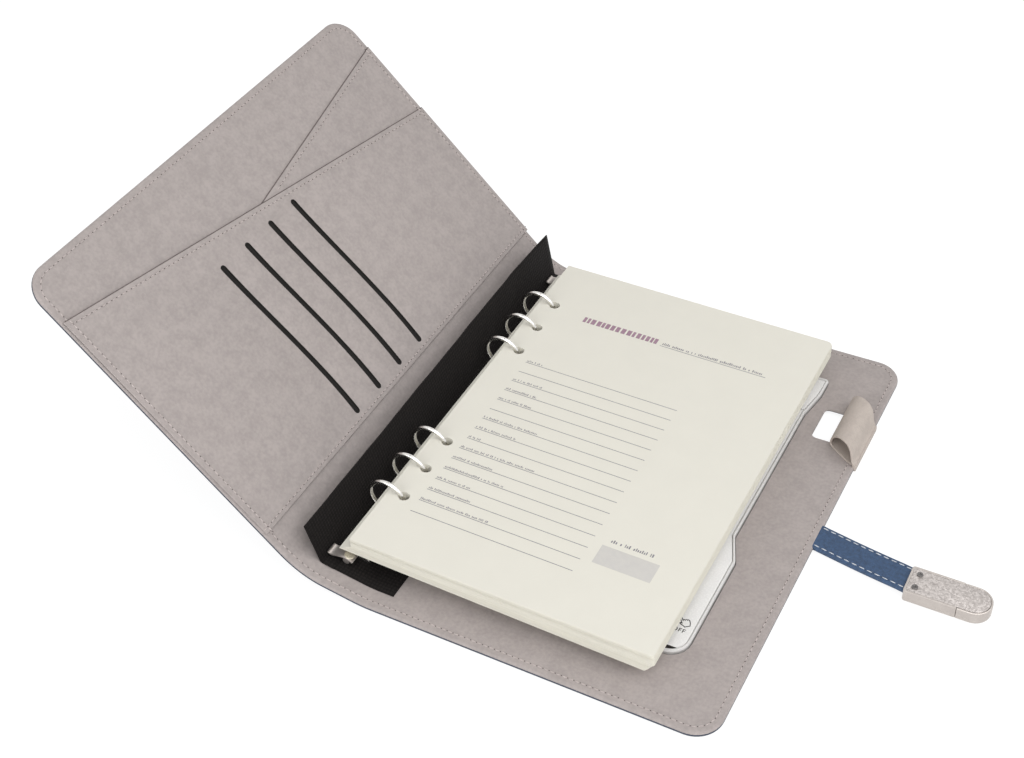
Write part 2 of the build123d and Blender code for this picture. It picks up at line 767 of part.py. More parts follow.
# Levers at both ends of the rings
def lever(end, label, rivet_label):
    """Make the lever at the bottom, end -1, or at the top, end 1."""
    near = plate_half_length + lever_end_gap
    section = spine_section.offset(-end * near)
    outwards = -end
    tongue_top = lever_pivot_height + lever_hub_radius + lever_crown_height
    tip = (-lever_tongue_reach, tongue_top - lever_tip_drop)
    under_tip = (tip[0] - lever_tip_lip, tip[1] - lever_tip_lip / 2)
    waist = (-lever_waist_reach, tongue_top - lever_waist_drop)
    crown = (-lever_crown_reach, tongue_top)
    heel = (lever_tongue_right, tongue_top - lever_heel_drop)
    with BuildPart() as lever_part:
        with BuildSketch(section):
            with Locations((0, lever_pivot_height)):
                Circle(lever_hub_radius)
        extrude(amount=outwards * lever_hub_length)
        with BuildSketch(section):
            with Locations((0, lever_pivot_height)):
                Circle(lever_pin_radius)
        extrude(amount=-outwards * (lever_end_gap + lever_pin_depth))
        with BuildSketch(section.offset(outwards * lever_tongue_gap)):
            with BuildLine():
                Spline(tip, waist, crown, heel, tangents=[(0.5, -0.85), (0.9, -0.45)])
                Line(heel, (heel[0] - lever_tip_lip / 2, heel[1] - lever_tongue_sheet))
                Spline(
                    (heel[0] - lever_tip_lip / 2, heel[1] - lever_tongue_sheet),
                    (crown[0], crown[1] - lever_tongue_sheet),
                    (waist[0], waist[1] - lever_tongue_sheet),
                    under_tip,
                    tangents=[(-0.9, 0.45), (-0.5, 0.85)],
                )
                Line(under_tip, tip)
            make_face()
        extrude(amount=outwards * lever_tongue_width)
    save(lever_part.part, label)
    middle_y = end * (near + lever_tongue_gap + lever_tongue_width / 2)
    with BuildPart() as rivet:
        with BuildSketch(spine_plane.offset(tongue_top - lever_rivet_sink)):
            with Locations((lever_rivet_x, middle_y)):
                Circle(lever_rivet_radius)
        extrude(amount=lever_rivet_height)
        fillet(rivet.edges().group_by(SortBy.LENGTH)[-1].sort_by(Axis.Z)[-1], lever_rivet_height / 2)
    save(rivet.part - lever_part.part, rivet_label)


lever(-1, "lever_bottom", "lever_bottom_rivet")
lever(1, "lever_top", "lever_top_rivet")

# Loose cloth flap, standing up beside the rings
flap_foot = spine_plane.from_local_coords((-flap_root_reach, 0, flap_root_height))
flap_run = Vector(cos(radians(flap_angle)), 0, sin(radians(flap_angle)))
flap_section = Plane(origin=flap_foot, x_dir=flap_run, z_dir=(0, -1, 0))
with BuildPart() as cloth_flap:
    with BuildSketch(flap_section):
        with Locations((flap_root_gap + flap_length / 2, 0)):
            Rectangle(flap_length, cloth_thickness)
    extrude(amount=cloth_half_length, both=True)
save(cloth_flap.part, "cloth_flap")

# Pages, seen along the spine: a wedge of sheets split into blocks, the lower ones set back
stack_edge_x = ring_centre.X + page_edge_from_ring
stack_top_z = ring_centre.Z + stack_top_above_ring
top_fall = tan(radians(stack_top_slope))


def stack_level(share, distance):
    """Give the height at a share of the stack's depth and a distance from the ring side."""
    top = stack_top_z - top_fall * distance
    thickening = (stack_height_at_fore_edge - stack_height_at_rings) / page_width
    depth = stack_height_at_rings + thickening * distance
    return top - share * depth


def page_layer(upper, lower, shift, label):
    """Make the pages between two shares of the stack's depth, with six ring holes."""
    left = stack_edge_x + shift
    right = left + page_width
    with BuildPart() as layer:
        with BuildSketch(Plane.XZ):
            with BuildLine():
                Polyline(
                    (left, stack_level(lower, shift)),
                    (right, stack_level(lower, shift + page_width)),
                    (right, stack_level(upper, shift + page_width)),
                    (left, stack_level(upper, shift)),
                    close=True,
                )
            make_face()
        extrude(amount=page_height / 2, both=True)
        corners = layer.edges().filter_by(Axis.Z).group_by(Axis.X)[-1]
        fillet(corners, page_corner_radius)
        for ring_y in ring_places:
            middle = Vector(ring_centre.X, ring_y, ring_centre.Z)
            with BuildSketch(Plane(origin=middle + Vector(page_hole_ring_radius, 0, 0), z_dir=(0, 0, 1))):
                Circle(page_hole_radius)
            revolve(axis=Axis(middle, (0, 1, 0)), mode=Mode.SUBTRACT)
    save(layer.part, label)


sheet_share = title_sheet_thickness / stack_height_at_rings
page_layer(0, sheet_share, 0, "title_sheet")
for block in range(block_count):
    block_top = sheet_share + (1 - sheet_share) * block / block_count
    block_bottom = sheet_share + (1 - sheet_share) * (block + 1) / block_count
    beyond_straight = max(0, (block_top + block_bottom) / 2 - straight_share) / (1 - straight_share)
    page_layer(block_top, block_bottom, -lowest_sheet_lag * beyond_straight, "page_block_" + str(block + 1))

# Front cover, in its own sloping plane
front_middle = Plane(
    origin=front_plane.from_local_coords((-front_panel_width / 2, 0, 0)),
    x_dir=front_plane.x_dir,
    z_dir=front_plane.z_dir,
)
magnet_x = -front_panel_width / 2 + magnet_plate_from_edge
with BuildPart() as front_skin:
    with BuildSketch(front_middle):
        add(cover_outline(front_panel_width, skin_fold_gap, 0, corner_radius, True))
    extrude(amount=skin_thickness)
save(front_skin.part, "front_cover_skin")

with BuildPart() as front_board:
    with BuildSketch(front_middle.offset(board_bottom)):
        add(cover_outline(front_panel_width, lining_fold_gap, board_inset, corner_radius, True))
    extrude(amount=board_thickness)
    with BuildSketch(front_middle.offset(board_bottom)):
        with Locations((magnet_x, buckle_y)):
            Rectangle(magnet_plate_size, magnet_plate_size)
    extrude(amount=magnet_plate_thickness, mode=Mode.SUBTRACT)
save(front_board.part, "front_cover_board")

with BuildPart() as front_magnet_plate:
    with BuildSketch(front_middle.offset(board_bottom)):
        with Locations((magnet_x, buckle_y)):
            Rectangle(magnet_plate_size - 0.2, magnet_plate_size - 0.2)
    extrude(amount=magnet_plate_thickness)
save(front_magnet_plate.part, "front_magnet_plate")

with BuildPart() as front_lining:
    with BuildSketch(front_middle.offset(board_bottom)):
        add(cover_outline(front_panel_width, lining_fold_gap, 0, corner_radius, True))
    extrude(amount=board_thickness + lining_thickness)
    with BuildSketch(front_middle.offset(board_bottom)):
        add(cover_outline(front_panel_width, lining_fold_gap, board_inset, corner_radius, True))
    extrude(amount=board_thickness, mode=Mode.SUBTRACT)
save(front_lining.part, "front_cover_lining")

# Pocket edges in the front cover's plane, measured from the pocket's inner edge
inner_x = front_panel_width / 2 - pocket_inner_edge
meet_x = inner_x - lower_pocket_edge_at_middle
lower_rise = tan(radians(lower_pocket_edge_slope))
upper_rise = tan(radians(upper_pocket_edge_slope))
beyond = cover_height


def pocket_outline(points):
    """Sketch the part of the cover's outline that lies inside the given corners."""
    with BuildSketch() as region:
        add(cover_outline(front_panel_width, pocket_inner_edge, 0, corner_radius, True))
        with BuildLine():
            Polyline(*points, close=True)
        make_face(mode=Mode.INTERSECT)
    return region.sketch


with BuildPart() as upper_pocket:
    with BuildSketch(front_middle.offset(cover_thickness)):
        add(pocket_outline(
            [
                (meet_x, pocket_edge_meet_y),
                (meet_x - beyond * upper_rise, pocket_edge_meet_y + beyond),
                (inner_x + 1, pocket_edge_meet_y + beyond),
                (inner_x + 1, pocket_edge_meet_y - beyond),
                (meet_x, pocket_edge_meet_y - beyond),
            ]
        ))
    extrude(amount=pocket_thickness)
save(upper_pocket.part, "front_upper_pocket")

pocket_level = cover_thickness + pocket_thickness
slot_start_x = inner_x - card_slot_start
slot_middle_x = slot_start_x - card_slot_length / 2
slot_places = [(slot_middle_x, card_slot_lowest_y + k * card_slot_pitch) for k in range(card_slot_count)]
backing_length = card_slot_length + 2 * slot_backing_margin
backing_height = card_slot_pitch * (card_slot_count - 1) + 4 * slot_backing_margin
backing_middle = (slot_middle_x, card_slot_lowest_y + card_slot_pitch * (card_slot_count - 1) / 2)

with BuildPart() as slot_backing:
    with BuildSketch(front_middle.offset(pocket_level)):
        with Locations(backing_middle):
            Rectangle(backing_length, backing_height)
    extrude(amount=slot_backing_thickness)
save(slot_backing.part, "card_slot_backing")

with BuildPart() as lower_pocket:
    with BuildSketch(front_middle.offset(pocket_level)):
        add(pocket_outline(
            [
                (meet_x - beyond * lower_rise, pocket_edge_meet_y - beyond),
                (inner_x + 1, pocket_edge_meet_y - beyond),
                (inner_x + 1, pocket_edge_meet_y + beyond),
                (meet_x + beyond * lower_rise, pocket_edge_meet_y + beyond),
            ]
        ))
    extrude(amount=slotted_panel_thickness)
    with BuildSketch(front_middle.offset(pocket_level)):
        with Locations(*slot_places):
            SlotOverall(card_slot_length, card_slot_width)
    extrude(amount=slotted_panel_thickness, mode=Mode.SUBTRACT)
    with BuildSketch(front_middle.offset(pocket_level)):
        with Locations(backing_middle):
            Rectangle(backing_length, backing_height)
    extrude(amount=slot_backing_thickness, mode=Mode.SUBTRACT)
save(lower_pocket.part, "front_lower_pocket")

# Strap: its root is sewn between the skin and the lining, then it folds twice
strap_fold_one = fore_x + strap_root_fold_offset
strap_fold_two = strap_fold_one + strap_second_fold
strap_middle_z = strap_bottom_z + strap_thickness / 2
strap_turn = (strap_end_y - strap_root_y) / (buckle_left_x - fore_x)
strap_climb = (strap_end_z - strap_middle_z) / strap_second_fold


def strap_line(x):
    """Give the strap's centre, as Y and Z, at a place along X."""
    y = strap_root_y + strap_turn * (x - fore_x)
    z = strap_middle_z + strap_climb * min(max(x - strap_fold_one, 0), strap_second_fold)
    return (y, z)


def strap_plan(from_x, to_x):
    """Sketch a length of the strap from above."""
    near_y = strap_line(from_x)[0]
    far_y = strap_line(to_x)[0]
    with BuildSketch() as plan:
        with BuildLine():
            Polyline(
                (from_x, near_y - strap_width / 2),
                (to_x, far_y - strap_width / 2),
                (to_x, far_y + strap_width / 2),
                (from_x, near_y + strap_width / 2),
                close=True,
            )
        make_face()
    return plan.sketch


with BuildPart() as strap_root_tab:
    with BuildSketch(Plane.XY.offset(strap_bottom_z)):
        tab_left = fore_x - strap_tab_depth + 1
        tab_right = strap_fold_one - strap_fold_gap
        with Locations(((tab_left + tab_right) / 2, strap_root_y)):
            Rectangle(tab_right - tab_left, strap_width)
    extrude(amount=strap_thickness)
save(strap_root_tab.part, "strap_root_tab")

with BuildPart() as strap_lower:
    lower_from = strap_fold_one + strap_fold_gap
    lower_to = strap_fold_two - strap_fold_gap
    from_z = strap_line(lower_from)[1]
    to_z = strap_line(lower_to)[1]
    with BuildSketch(Plane.XZ):
        with BuildLine():
            Polyline(
                (lower_from, from_z - strap_thickness / 2),
                (lower_to, to_z - strap_thickness / 2),
                (lower_to, to_z + strap_thickness / 2),
                (lower_from, from_z + strap_thickness / 2),
                close=True,
            )
        make_face()
    extrude(amount=2 * strap_width, both=True)
    with BuildSketch():
        add(strap_plan(lower_from, lower_to))
    extrude(amount=buckle_height, mode=Mode.INTERSECT)
save(strap_lower.part, "strap_lower")

strap_upper_bottom = strap_end_z - strap_thickness / 2
tongue_middle_x = buckle_left_x - strap_tongue_overlap + strap_tongue_depth / 2
with BuildPart() as strap_upper:
    with BuildSketch(Plane.XY.offset(strap_upper_bottom)):
        add(strap_plan(strap_fold_two + strap_fold_gap, buckle_left_x))
        with Locations((tongue_middle_x, buckle_y)):
            Rectangle(strap_tongue_depth, strap_tongue_width)
    extrude(amount=strap_thickness)
save(strap_upper.part, "strap_upper")

# Buckle: a metal housing that holds a drive, under a textured top plate
buckle_right_x = buckle_left_x + buckle_length
seam_x = buckle_left_x + housing_length
plate_bottom_z = buckle_height - top_plate_thickness
plug_middle_z = plate_bottom_z / 2
screw_end_z = plate_bottom_z - buckle_screw_depth
screw_line_x = buckle_left_x + buckle_screw_from_end
buckle_screw_places = [(screw_line_x, buckle_y + side * buckle_screw_spacing / 2) for side in (-1, 1)]
magnet_place = (buckle_left_x + buckle_magnet_from_end, buckle_y)


def buckle_outline(inset):
    """Sketch the buckle in plan: square at the strap, rounded at the tip."""
    half = buckle_width / 2 - inset
    left = buckle_left_x + inset
    right = buckle_right_x - inset
    lower = (right - half, buckle_y - half)
    upper = (right - half, buckle_y + half)
    with BuildSketch() as outline:
        with BuildLine():
            Polyline(lower, (left, buckle_y - half), (left, buckle_y + half), upper)
            ThreePointArc(upper, (right, buckle_y), lower)
        make_face()
        fillet([v for v in outline.vertices() if v.X < left + 0.01], buckle_corner_radius)
    return outline.sketch


with BuildPart() as buckle_housing:
    with BuildSketch():
        add(buckle_outline(0))
        with Locations((buckle_left_x, buckle_y)):
            Rectangle(2 * housing_length, 2 * buckle_width, mode=Mode.INTERSECT)
    extrude(amount=buckle_height)
    lower_edges = buckle_housing.edges().group_by(Axis.Z)[0].sort_by(Axis.X)
    fillet(lower_edges[:-1], buckle_lower_rounding)
    with BuildSketch(Plane.XY.offset(plate_bottom_z)):
        add(buckle_outline(top_plate_inset))
    extrude(amount=top_plate_thickness, mode=Mode.SUBTRACT)
    with BuildSketch(Plane.XY.offset(strap_upper_bottom - housing_slot_clearance)):
        with Locations((tongue_middle_x, buckle_y)):
            Rectangle(strap_tongue_depth, strap_tongue_width + 2 * housing_slot_clearance)
    extrude(amount=strap_thickness + 2 * housing_slot_clearance, mode=Mode.SUBTRACT)
    with BuildSketch(Plane.YZ.offset(seam_x)):
        with Locations((buckle_y, plug_middle_z)):
            Rectangle(plug_width + 2 * plug_clearance, plug_height + 2 * plug_clearance)
    extrude(amount=-plug_length - plug_clearance, mode=Mode.SUBTRACT)
    with BuildSketch(Plane.XY.offset(plate_bottom_z)):
        with Locations(*buckle_screw_places):
            Circle(buckle_screw_radius)
    extrude(amount=-buckle_screw_depth, mode=Mode.SUBTRACT)
    with BuildSketch(Plane.XY.offset(plate_bottom_z)):
        with Locations(magnet_place):
            Circle(buckle_magnet_radius + glue_gap)
    extrude(amount=-buckle_magnet_thickness, mode=Mode.SUBTRACT)
save(buckle_housing.part, "buckle_housing")

with BuildPart() as buckle_magnet:
    with BuildSketch(Plane.XY.offset(plate_bottom_z - buckle_magnet_thickness)):
        with Locations(magnet_place):
            Circle(buckle_magnet_radius)
    extrude(amount=buckle_magnet_thickness)
save(buckle_magnet.part, "buckle_magnet")

with BuildPart() as top_plate:
    with BuildSketch(Plane.XY.offset(plate_bottom_z)):
        add(buckle_outline(top_plate_inset + drive_slide_gap))
        with Locations(*buckle_screw_places):
            Circle(buckle_screw_radius, mode=Mode.SUBTRACT)
    extrude(amount=top_plate_thickness)
save(top_plate.part, "buckle_top_plate")

with BuildPart() as buckle_screws:
    with BuildSketch(Plane.XY.offset(screw_end_z)):
        with Locations(*buckle_screw_places):
            Circle(buckle_screw_radius - glue_gap)
    extrude(amount=buckle_height - screw_end_z)
    with BuildSketch(Plane.XY.offset(buckle_height)):
        with Locations(*buckle_screw_places):
            Circle(buckle_screw_head_radius)
            Rectangle(buckle_screw_head_radius, buckle_screw_slot, mode=Mode.SUBTRACT)
            Rectangle(buckle_screw_slot, buckle_screw_head_radius, mode=Mode.SUBTRACT)
    extrude(amount=buckle_screw_head_height)
save(buckle_screws.part, "buckle_screws")

# Drive: its body is the buckle's tip, and its plug is housed in the buckle
drive_left_x = seam_x + drive_seam_gap
with BuildPart() as drive_body:
    with BuildSketch():
        add(buckle_outline(0))
        with Locations((drive_left_x + buckle_length, buckle_y)):
            Rectangle(2 * buckle_length, 2 * buckle_width, mode=Mode.INTERSECT)
    extrude(amount=buckle_height)
    lower_edges = drive_body.edges().group_by(Axis.Z)[0].sort_by(Axis.X)
    fillet(lower_edges[1:], buckle_lower_rounding)
    with BuildSketch(Plane.XY.offset(plate_bottom_z - drive_slide_gap)):
        add(buckle_outline(top_plate_inset))
    extrude(amount=buckle_height, mode=Mode.SUBTRACT)
save(drive_body.part, "usb_drive_body")

with BuildPart() as plug_shell:
    with BuildSketch(Plane.YZ.offset(drive_left_x)):
        with Locations((buckle_y, plug_middle_z)):
            Rectangle(plug_width, plug_height)
            Rectangle(plug_width - 2 * plug_wall, plug_height - 2 * plug_wall, mode=Mode.SUBTRACT)
    extrude(amount=-plug_length)
save(plug_shell.part, "usb_plug_shell")

with BuildPart() as plug_tongue:
    with BuildSketch(Plane.YZ.offset(drive_left_x)):
        tongue_z = plug_middle_z + (plug_height - plug_tongue_thickness) / 2 - plug_wall
        with Locations((buckle_y, tongue_z)):
            Rectangle(plug_width - 2 * plug_wall - 2 * plug_tongue_side_gap, plug_tongue_thickness)
    extrude(amount=-plug_length + plug_wall)
save(plug_tongue.part, "usb_plug_tongue")
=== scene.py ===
import math
import random

import bmesh
import bpy
from bpy.props import FloatProperty, FloatVectorProperty, IntProperty, PointerProperty
from mathutils import Matrix, Vector


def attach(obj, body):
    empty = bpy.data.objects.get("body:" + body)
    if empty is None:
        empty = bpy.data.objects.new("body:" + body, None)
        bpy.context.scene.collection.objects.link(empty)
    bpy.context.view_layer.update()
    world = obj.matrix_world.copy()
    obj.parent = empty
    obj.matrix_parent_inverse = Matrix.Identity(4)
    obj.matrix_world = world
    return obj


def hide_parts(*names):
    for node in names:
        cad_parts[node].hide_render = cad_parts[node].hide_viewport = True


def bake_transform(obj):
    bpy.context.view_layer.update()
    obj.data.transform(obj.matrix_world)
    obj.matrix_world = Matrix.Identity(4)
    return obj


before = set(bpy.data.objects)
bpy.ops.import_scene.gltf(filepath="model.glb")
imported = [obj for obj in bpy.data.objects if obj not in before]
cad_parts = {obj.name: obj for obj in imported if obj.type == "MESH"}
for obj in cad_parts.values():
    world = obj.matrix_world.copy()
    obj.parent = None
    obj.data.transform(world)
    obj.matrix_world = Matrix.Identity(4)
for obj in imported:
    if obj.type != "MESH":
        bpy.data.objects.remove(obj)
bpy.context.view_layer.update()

bl_info = {
    "name": "Ring Notebook with Power Bank",
    "version": (1, 0, 0),
    "blender": (4, 5, 0),
    "location": "View3D > Sidebar > Notebook",
    "description": "Dresses the packed notebook frame in leather, paper, cloth, metal and plastic",
    "category": "Object",
}

MM = 0.001

# Points closer than this are one, in a sheet made here and in a copy of a solid
WELD, CAD_WELD = 0.002 * MM, 0.005 * MM

# The cover's line in millimetres, seen along the spine: S runs along it from the back fold, which is
# 0, to the back edge; the spine bends once before the front fold, and each run has its own slope
FOLD_X, FOLD_Z = -80.75, 0.4
BEND_S, FRONT_FOLD_S = -26.5, -38.5
LOWER_SLOPE, UPPER_SLOPE, FRONT_SLOPE = (math.radians(a) for a in (9.8, 31.0, 45.85))
BACK_EDGE_S, FRONT_EDGE_S = 161.5, -201.0
HALF_HEIGHT, CORNER = 121.25, 13.0

# The cover's bends: where each is and how far its round reaches either way
BENDS = ((0.0, 5.0), (BEND_S, 6.5), (FRONT_FOLD_S, 5.3))

# Height of the lining's face over the cover's line, and where the pockets start along it
INNER, POCKET_START_S = 2.6, -54.5

# Ring centre and the six rings' places along the spine
RING_X, RING_Z = -94.794, 17.794
RING_Y = [side * (35.0 + 19.05 * k) for side in (-1, 1) for k in range(3)]

# The page stack: its ring side and top, a sheet's size, how much the top falls to the fore edge,
# the radius on which the rings pass through, and the radius of the punched holes
STACK_X, STACK_TOP = RING_X + 1.0, RING_Z + 4.35
PAGE_W, PAGE_H = 142.0, 210.0
TOP_FALL = math.tan(math.radians(0.85))
HOLE_PATH, HOLE_RADIUS = 9.95, 2.5

# The cloth flap's fold
FLAP_X, FLAP_Z = -106.30, 8.77

# The strap: its middle at the cover's edge, how far it runs aside for every millimetre, and its folds
STRAP_Y0, STRAP_TURN = -1.2, -8.5 / 42.0
STRAP_FOLD_ONE, STRAP_FOLD_TWO = 82.95, 118.95

# Points on a round corner of the window and of the power bank
ROUND_STEPS = 6


def srgb(text):
    """Turn an sRGB hex colour to the linear values that shaders take."""
    parts = [int(text[i:i + 2], 16) / 255 for i in (1, 3, 5)]
    line = [c / 12.92 if c <= 0.04045 else ((c + 0.055) / 1.055) ** 2.4 for c in parts]
    return (*line, 1.0)


# Settings a user would change
class NotebookSettings(bpy.types.PropertyGroup):
    """Sizes and colours of the notebook's dressing."""

    lining_colour: FloatVectorProperty(
        name="Lining", description="Colour of the lining and pockets", subtype="COLOR", size=4,
        default=srgb("#aaa19e"), min=0, max=1)
    skin_colour: FloatVectorProperty(
        name="Outer skin", description="Colour of the cover's outside", subtype="COLOR", size=4,
        default=srgb("#1d2a3f"), min=0, max=1)
    strap_colour: FloatVectorProperty(
        name="Strap", description="Colour of the strap", subtype="COLOR", size=4,
        default=srgb("#385070"), min=0, max=1)
    paper_colour: FloatVectorProperty(
        name="Paper", description="Colour of the pages", subtype="COLOR", size=4,
        default=srgb("#e8e5da"), min=0, max=1)
    stitch_pitch: FloatProperty(
        name="Stitch pitch", description="Distance from one stitch to the next", unit="LENGTH",
        default=2.8 * MM, min=0.002, max=0.01)
    thread_radius: FloatProperty(
        name="Thread radius", description="Radius of the sewing thread", unit="LENGTH",
        default=0.30 * MM, min=0.0001, max=0.001)
    stitch_inset: FloatProperty(
        name="Stitch inset", description="Distance of the stitching from the cover's edge", unit="LENGTH",
        default=3.8 * MM, min=0.001, max=0.01)
    sheet_count: IntProperty(
        name="Sheets", description="Number of sheets modelled in the page stack", default=60, min=10, max=120)
    ripple: FloatProperty(
        name="Cloth ripple", description="How far the cloth flap waves along its free edge", unit="LENGTH",
        default=0.12 * MM, min=0, max=0.003)


# Materials
def add_node(tree, kind, links=None, **settings):
    """Add a node, set its properties, and fill or link its inputs."""
    made = tree.nodes.new(kind)
    for name, value in settings.items():
        setattr(made, name, value)
    for name, value in (links or {}).items():
        socket = made.inputs[name]
        if isinstance(value, bpy.types.NodeSocket):
            tree.links.new(value, socket)
        else:
            socket.default_value = value
    return made


def empty_tree(owner):
    """Give the emptied node tree of a material or a world."""
    owner.use_nodes = True
    owner.node_tree.nodes.clear()
    return owner.node_tree


def new_material(name):
    """Make a material and give it with its empty node tree."""
    material = bpy.data.materials.new(name)
    return material, empty_tree(material)


def straight_rays(tree):
    """Give a socket that is 1 for what the eye sees, directly, in metal or through glass."""
    path = add_node(tree, "ShaderNodeLightPath").outputs
    seen = path["Is Camera Ray"]
    for kind in ("Is Glossy Ray", "Is Transmission Ray"):
        either = add_node(tree, "ShaderNodeMath", {0: seen, 1: path[kind]}, operation="MAXIMUM")
        seen = either.outputs["Value"]
    return seen


def finish_material(name, colours, rough, grain, patch, bump=0.0, metallic=0.0, streak=None, **fixed):
    """Make a material from real sizes in millimetres.

    colours: two colours that the patches mix; rough: lowest and highest roughness;
    grain: size of the fine grain; patch: size of the colour patches; bump: depth of the grain;
    streak: stretch of the grain along X, Y and Z; fixed: other values of the shader.
    """
    material, tree = new_material(name)
    place = add_node(tree, "ShaderNodeTexCoord").outputs["Object"]
    if streak:
        place = add_node(tree, "ShaderNodeMapping", {"Vector": place, "Scale": streak}).outputs["Vector"]
    patches = add_node(tree, "ShaderNodeTexNoise", {
        "Vector": place, "Scale": 1 / (patch * MM), "Detail": 3.0, "Roughness": 0.6})
    fine = add_node(tree, "ShaderNodeTexNoise", {
        "Vector": place, "Scale": 1 / (grain * MM), "Detail": 2.0, "Roughness": 0.55})
    both = add_node(tree, "ShaderNodeMix", {
        "Factor": 0.45, "A": patches.outputs["Fac"], "B": fine.outputs["Fac"]}, data_type="FLOAT")
    spread = add_node(tree, "ShaderNodeMapRange", {
        "Value": both.outputs["Result"], "From Min": 0.36, "From Max": 0.64})
    tint = add_node(tree, "ShaderNodeMix", {
        "Factor": spread.outputs["Result"], 6: colours[0], 7: colours[1]}, data_type="RGBA")
    shine = add_node(tree, "ShaderNodeMapRange", {
        "Value": fine.outputs["Fac"], "From Min": 0.3, "From Max": 0.7,
        "To Min": rough[0], "To Max": rough[1]})
    links = {"Base Color": tint.outputs[2], "Roughness": shine.outputs["Result"], "Metallic": metallic}
    if bump:
        relief = add_node(tree, "ShaderNodeBump", {
            "Height": fine.outputs["Fac"], "Strength": 1.0, "Distance": bump * MM})
        links["Normal"] = relief.outputs["Normal"]
    for key, value in fixed.items():
        links[key.replace("_", " ")] = value
    shader = add_node(tree, "ShaderNodeBsdfPrincipled", links)
    add_node(tree, "ShaderNodeOutputMaterial", {"Surface": shader.outputs["BSDF"]})
    return material


def shade(colour, factor):
    """Make a colour lighter or darker by a factor."""
    return (*[min(1.0, c * factor) for c in colour[:3]], 1.0)


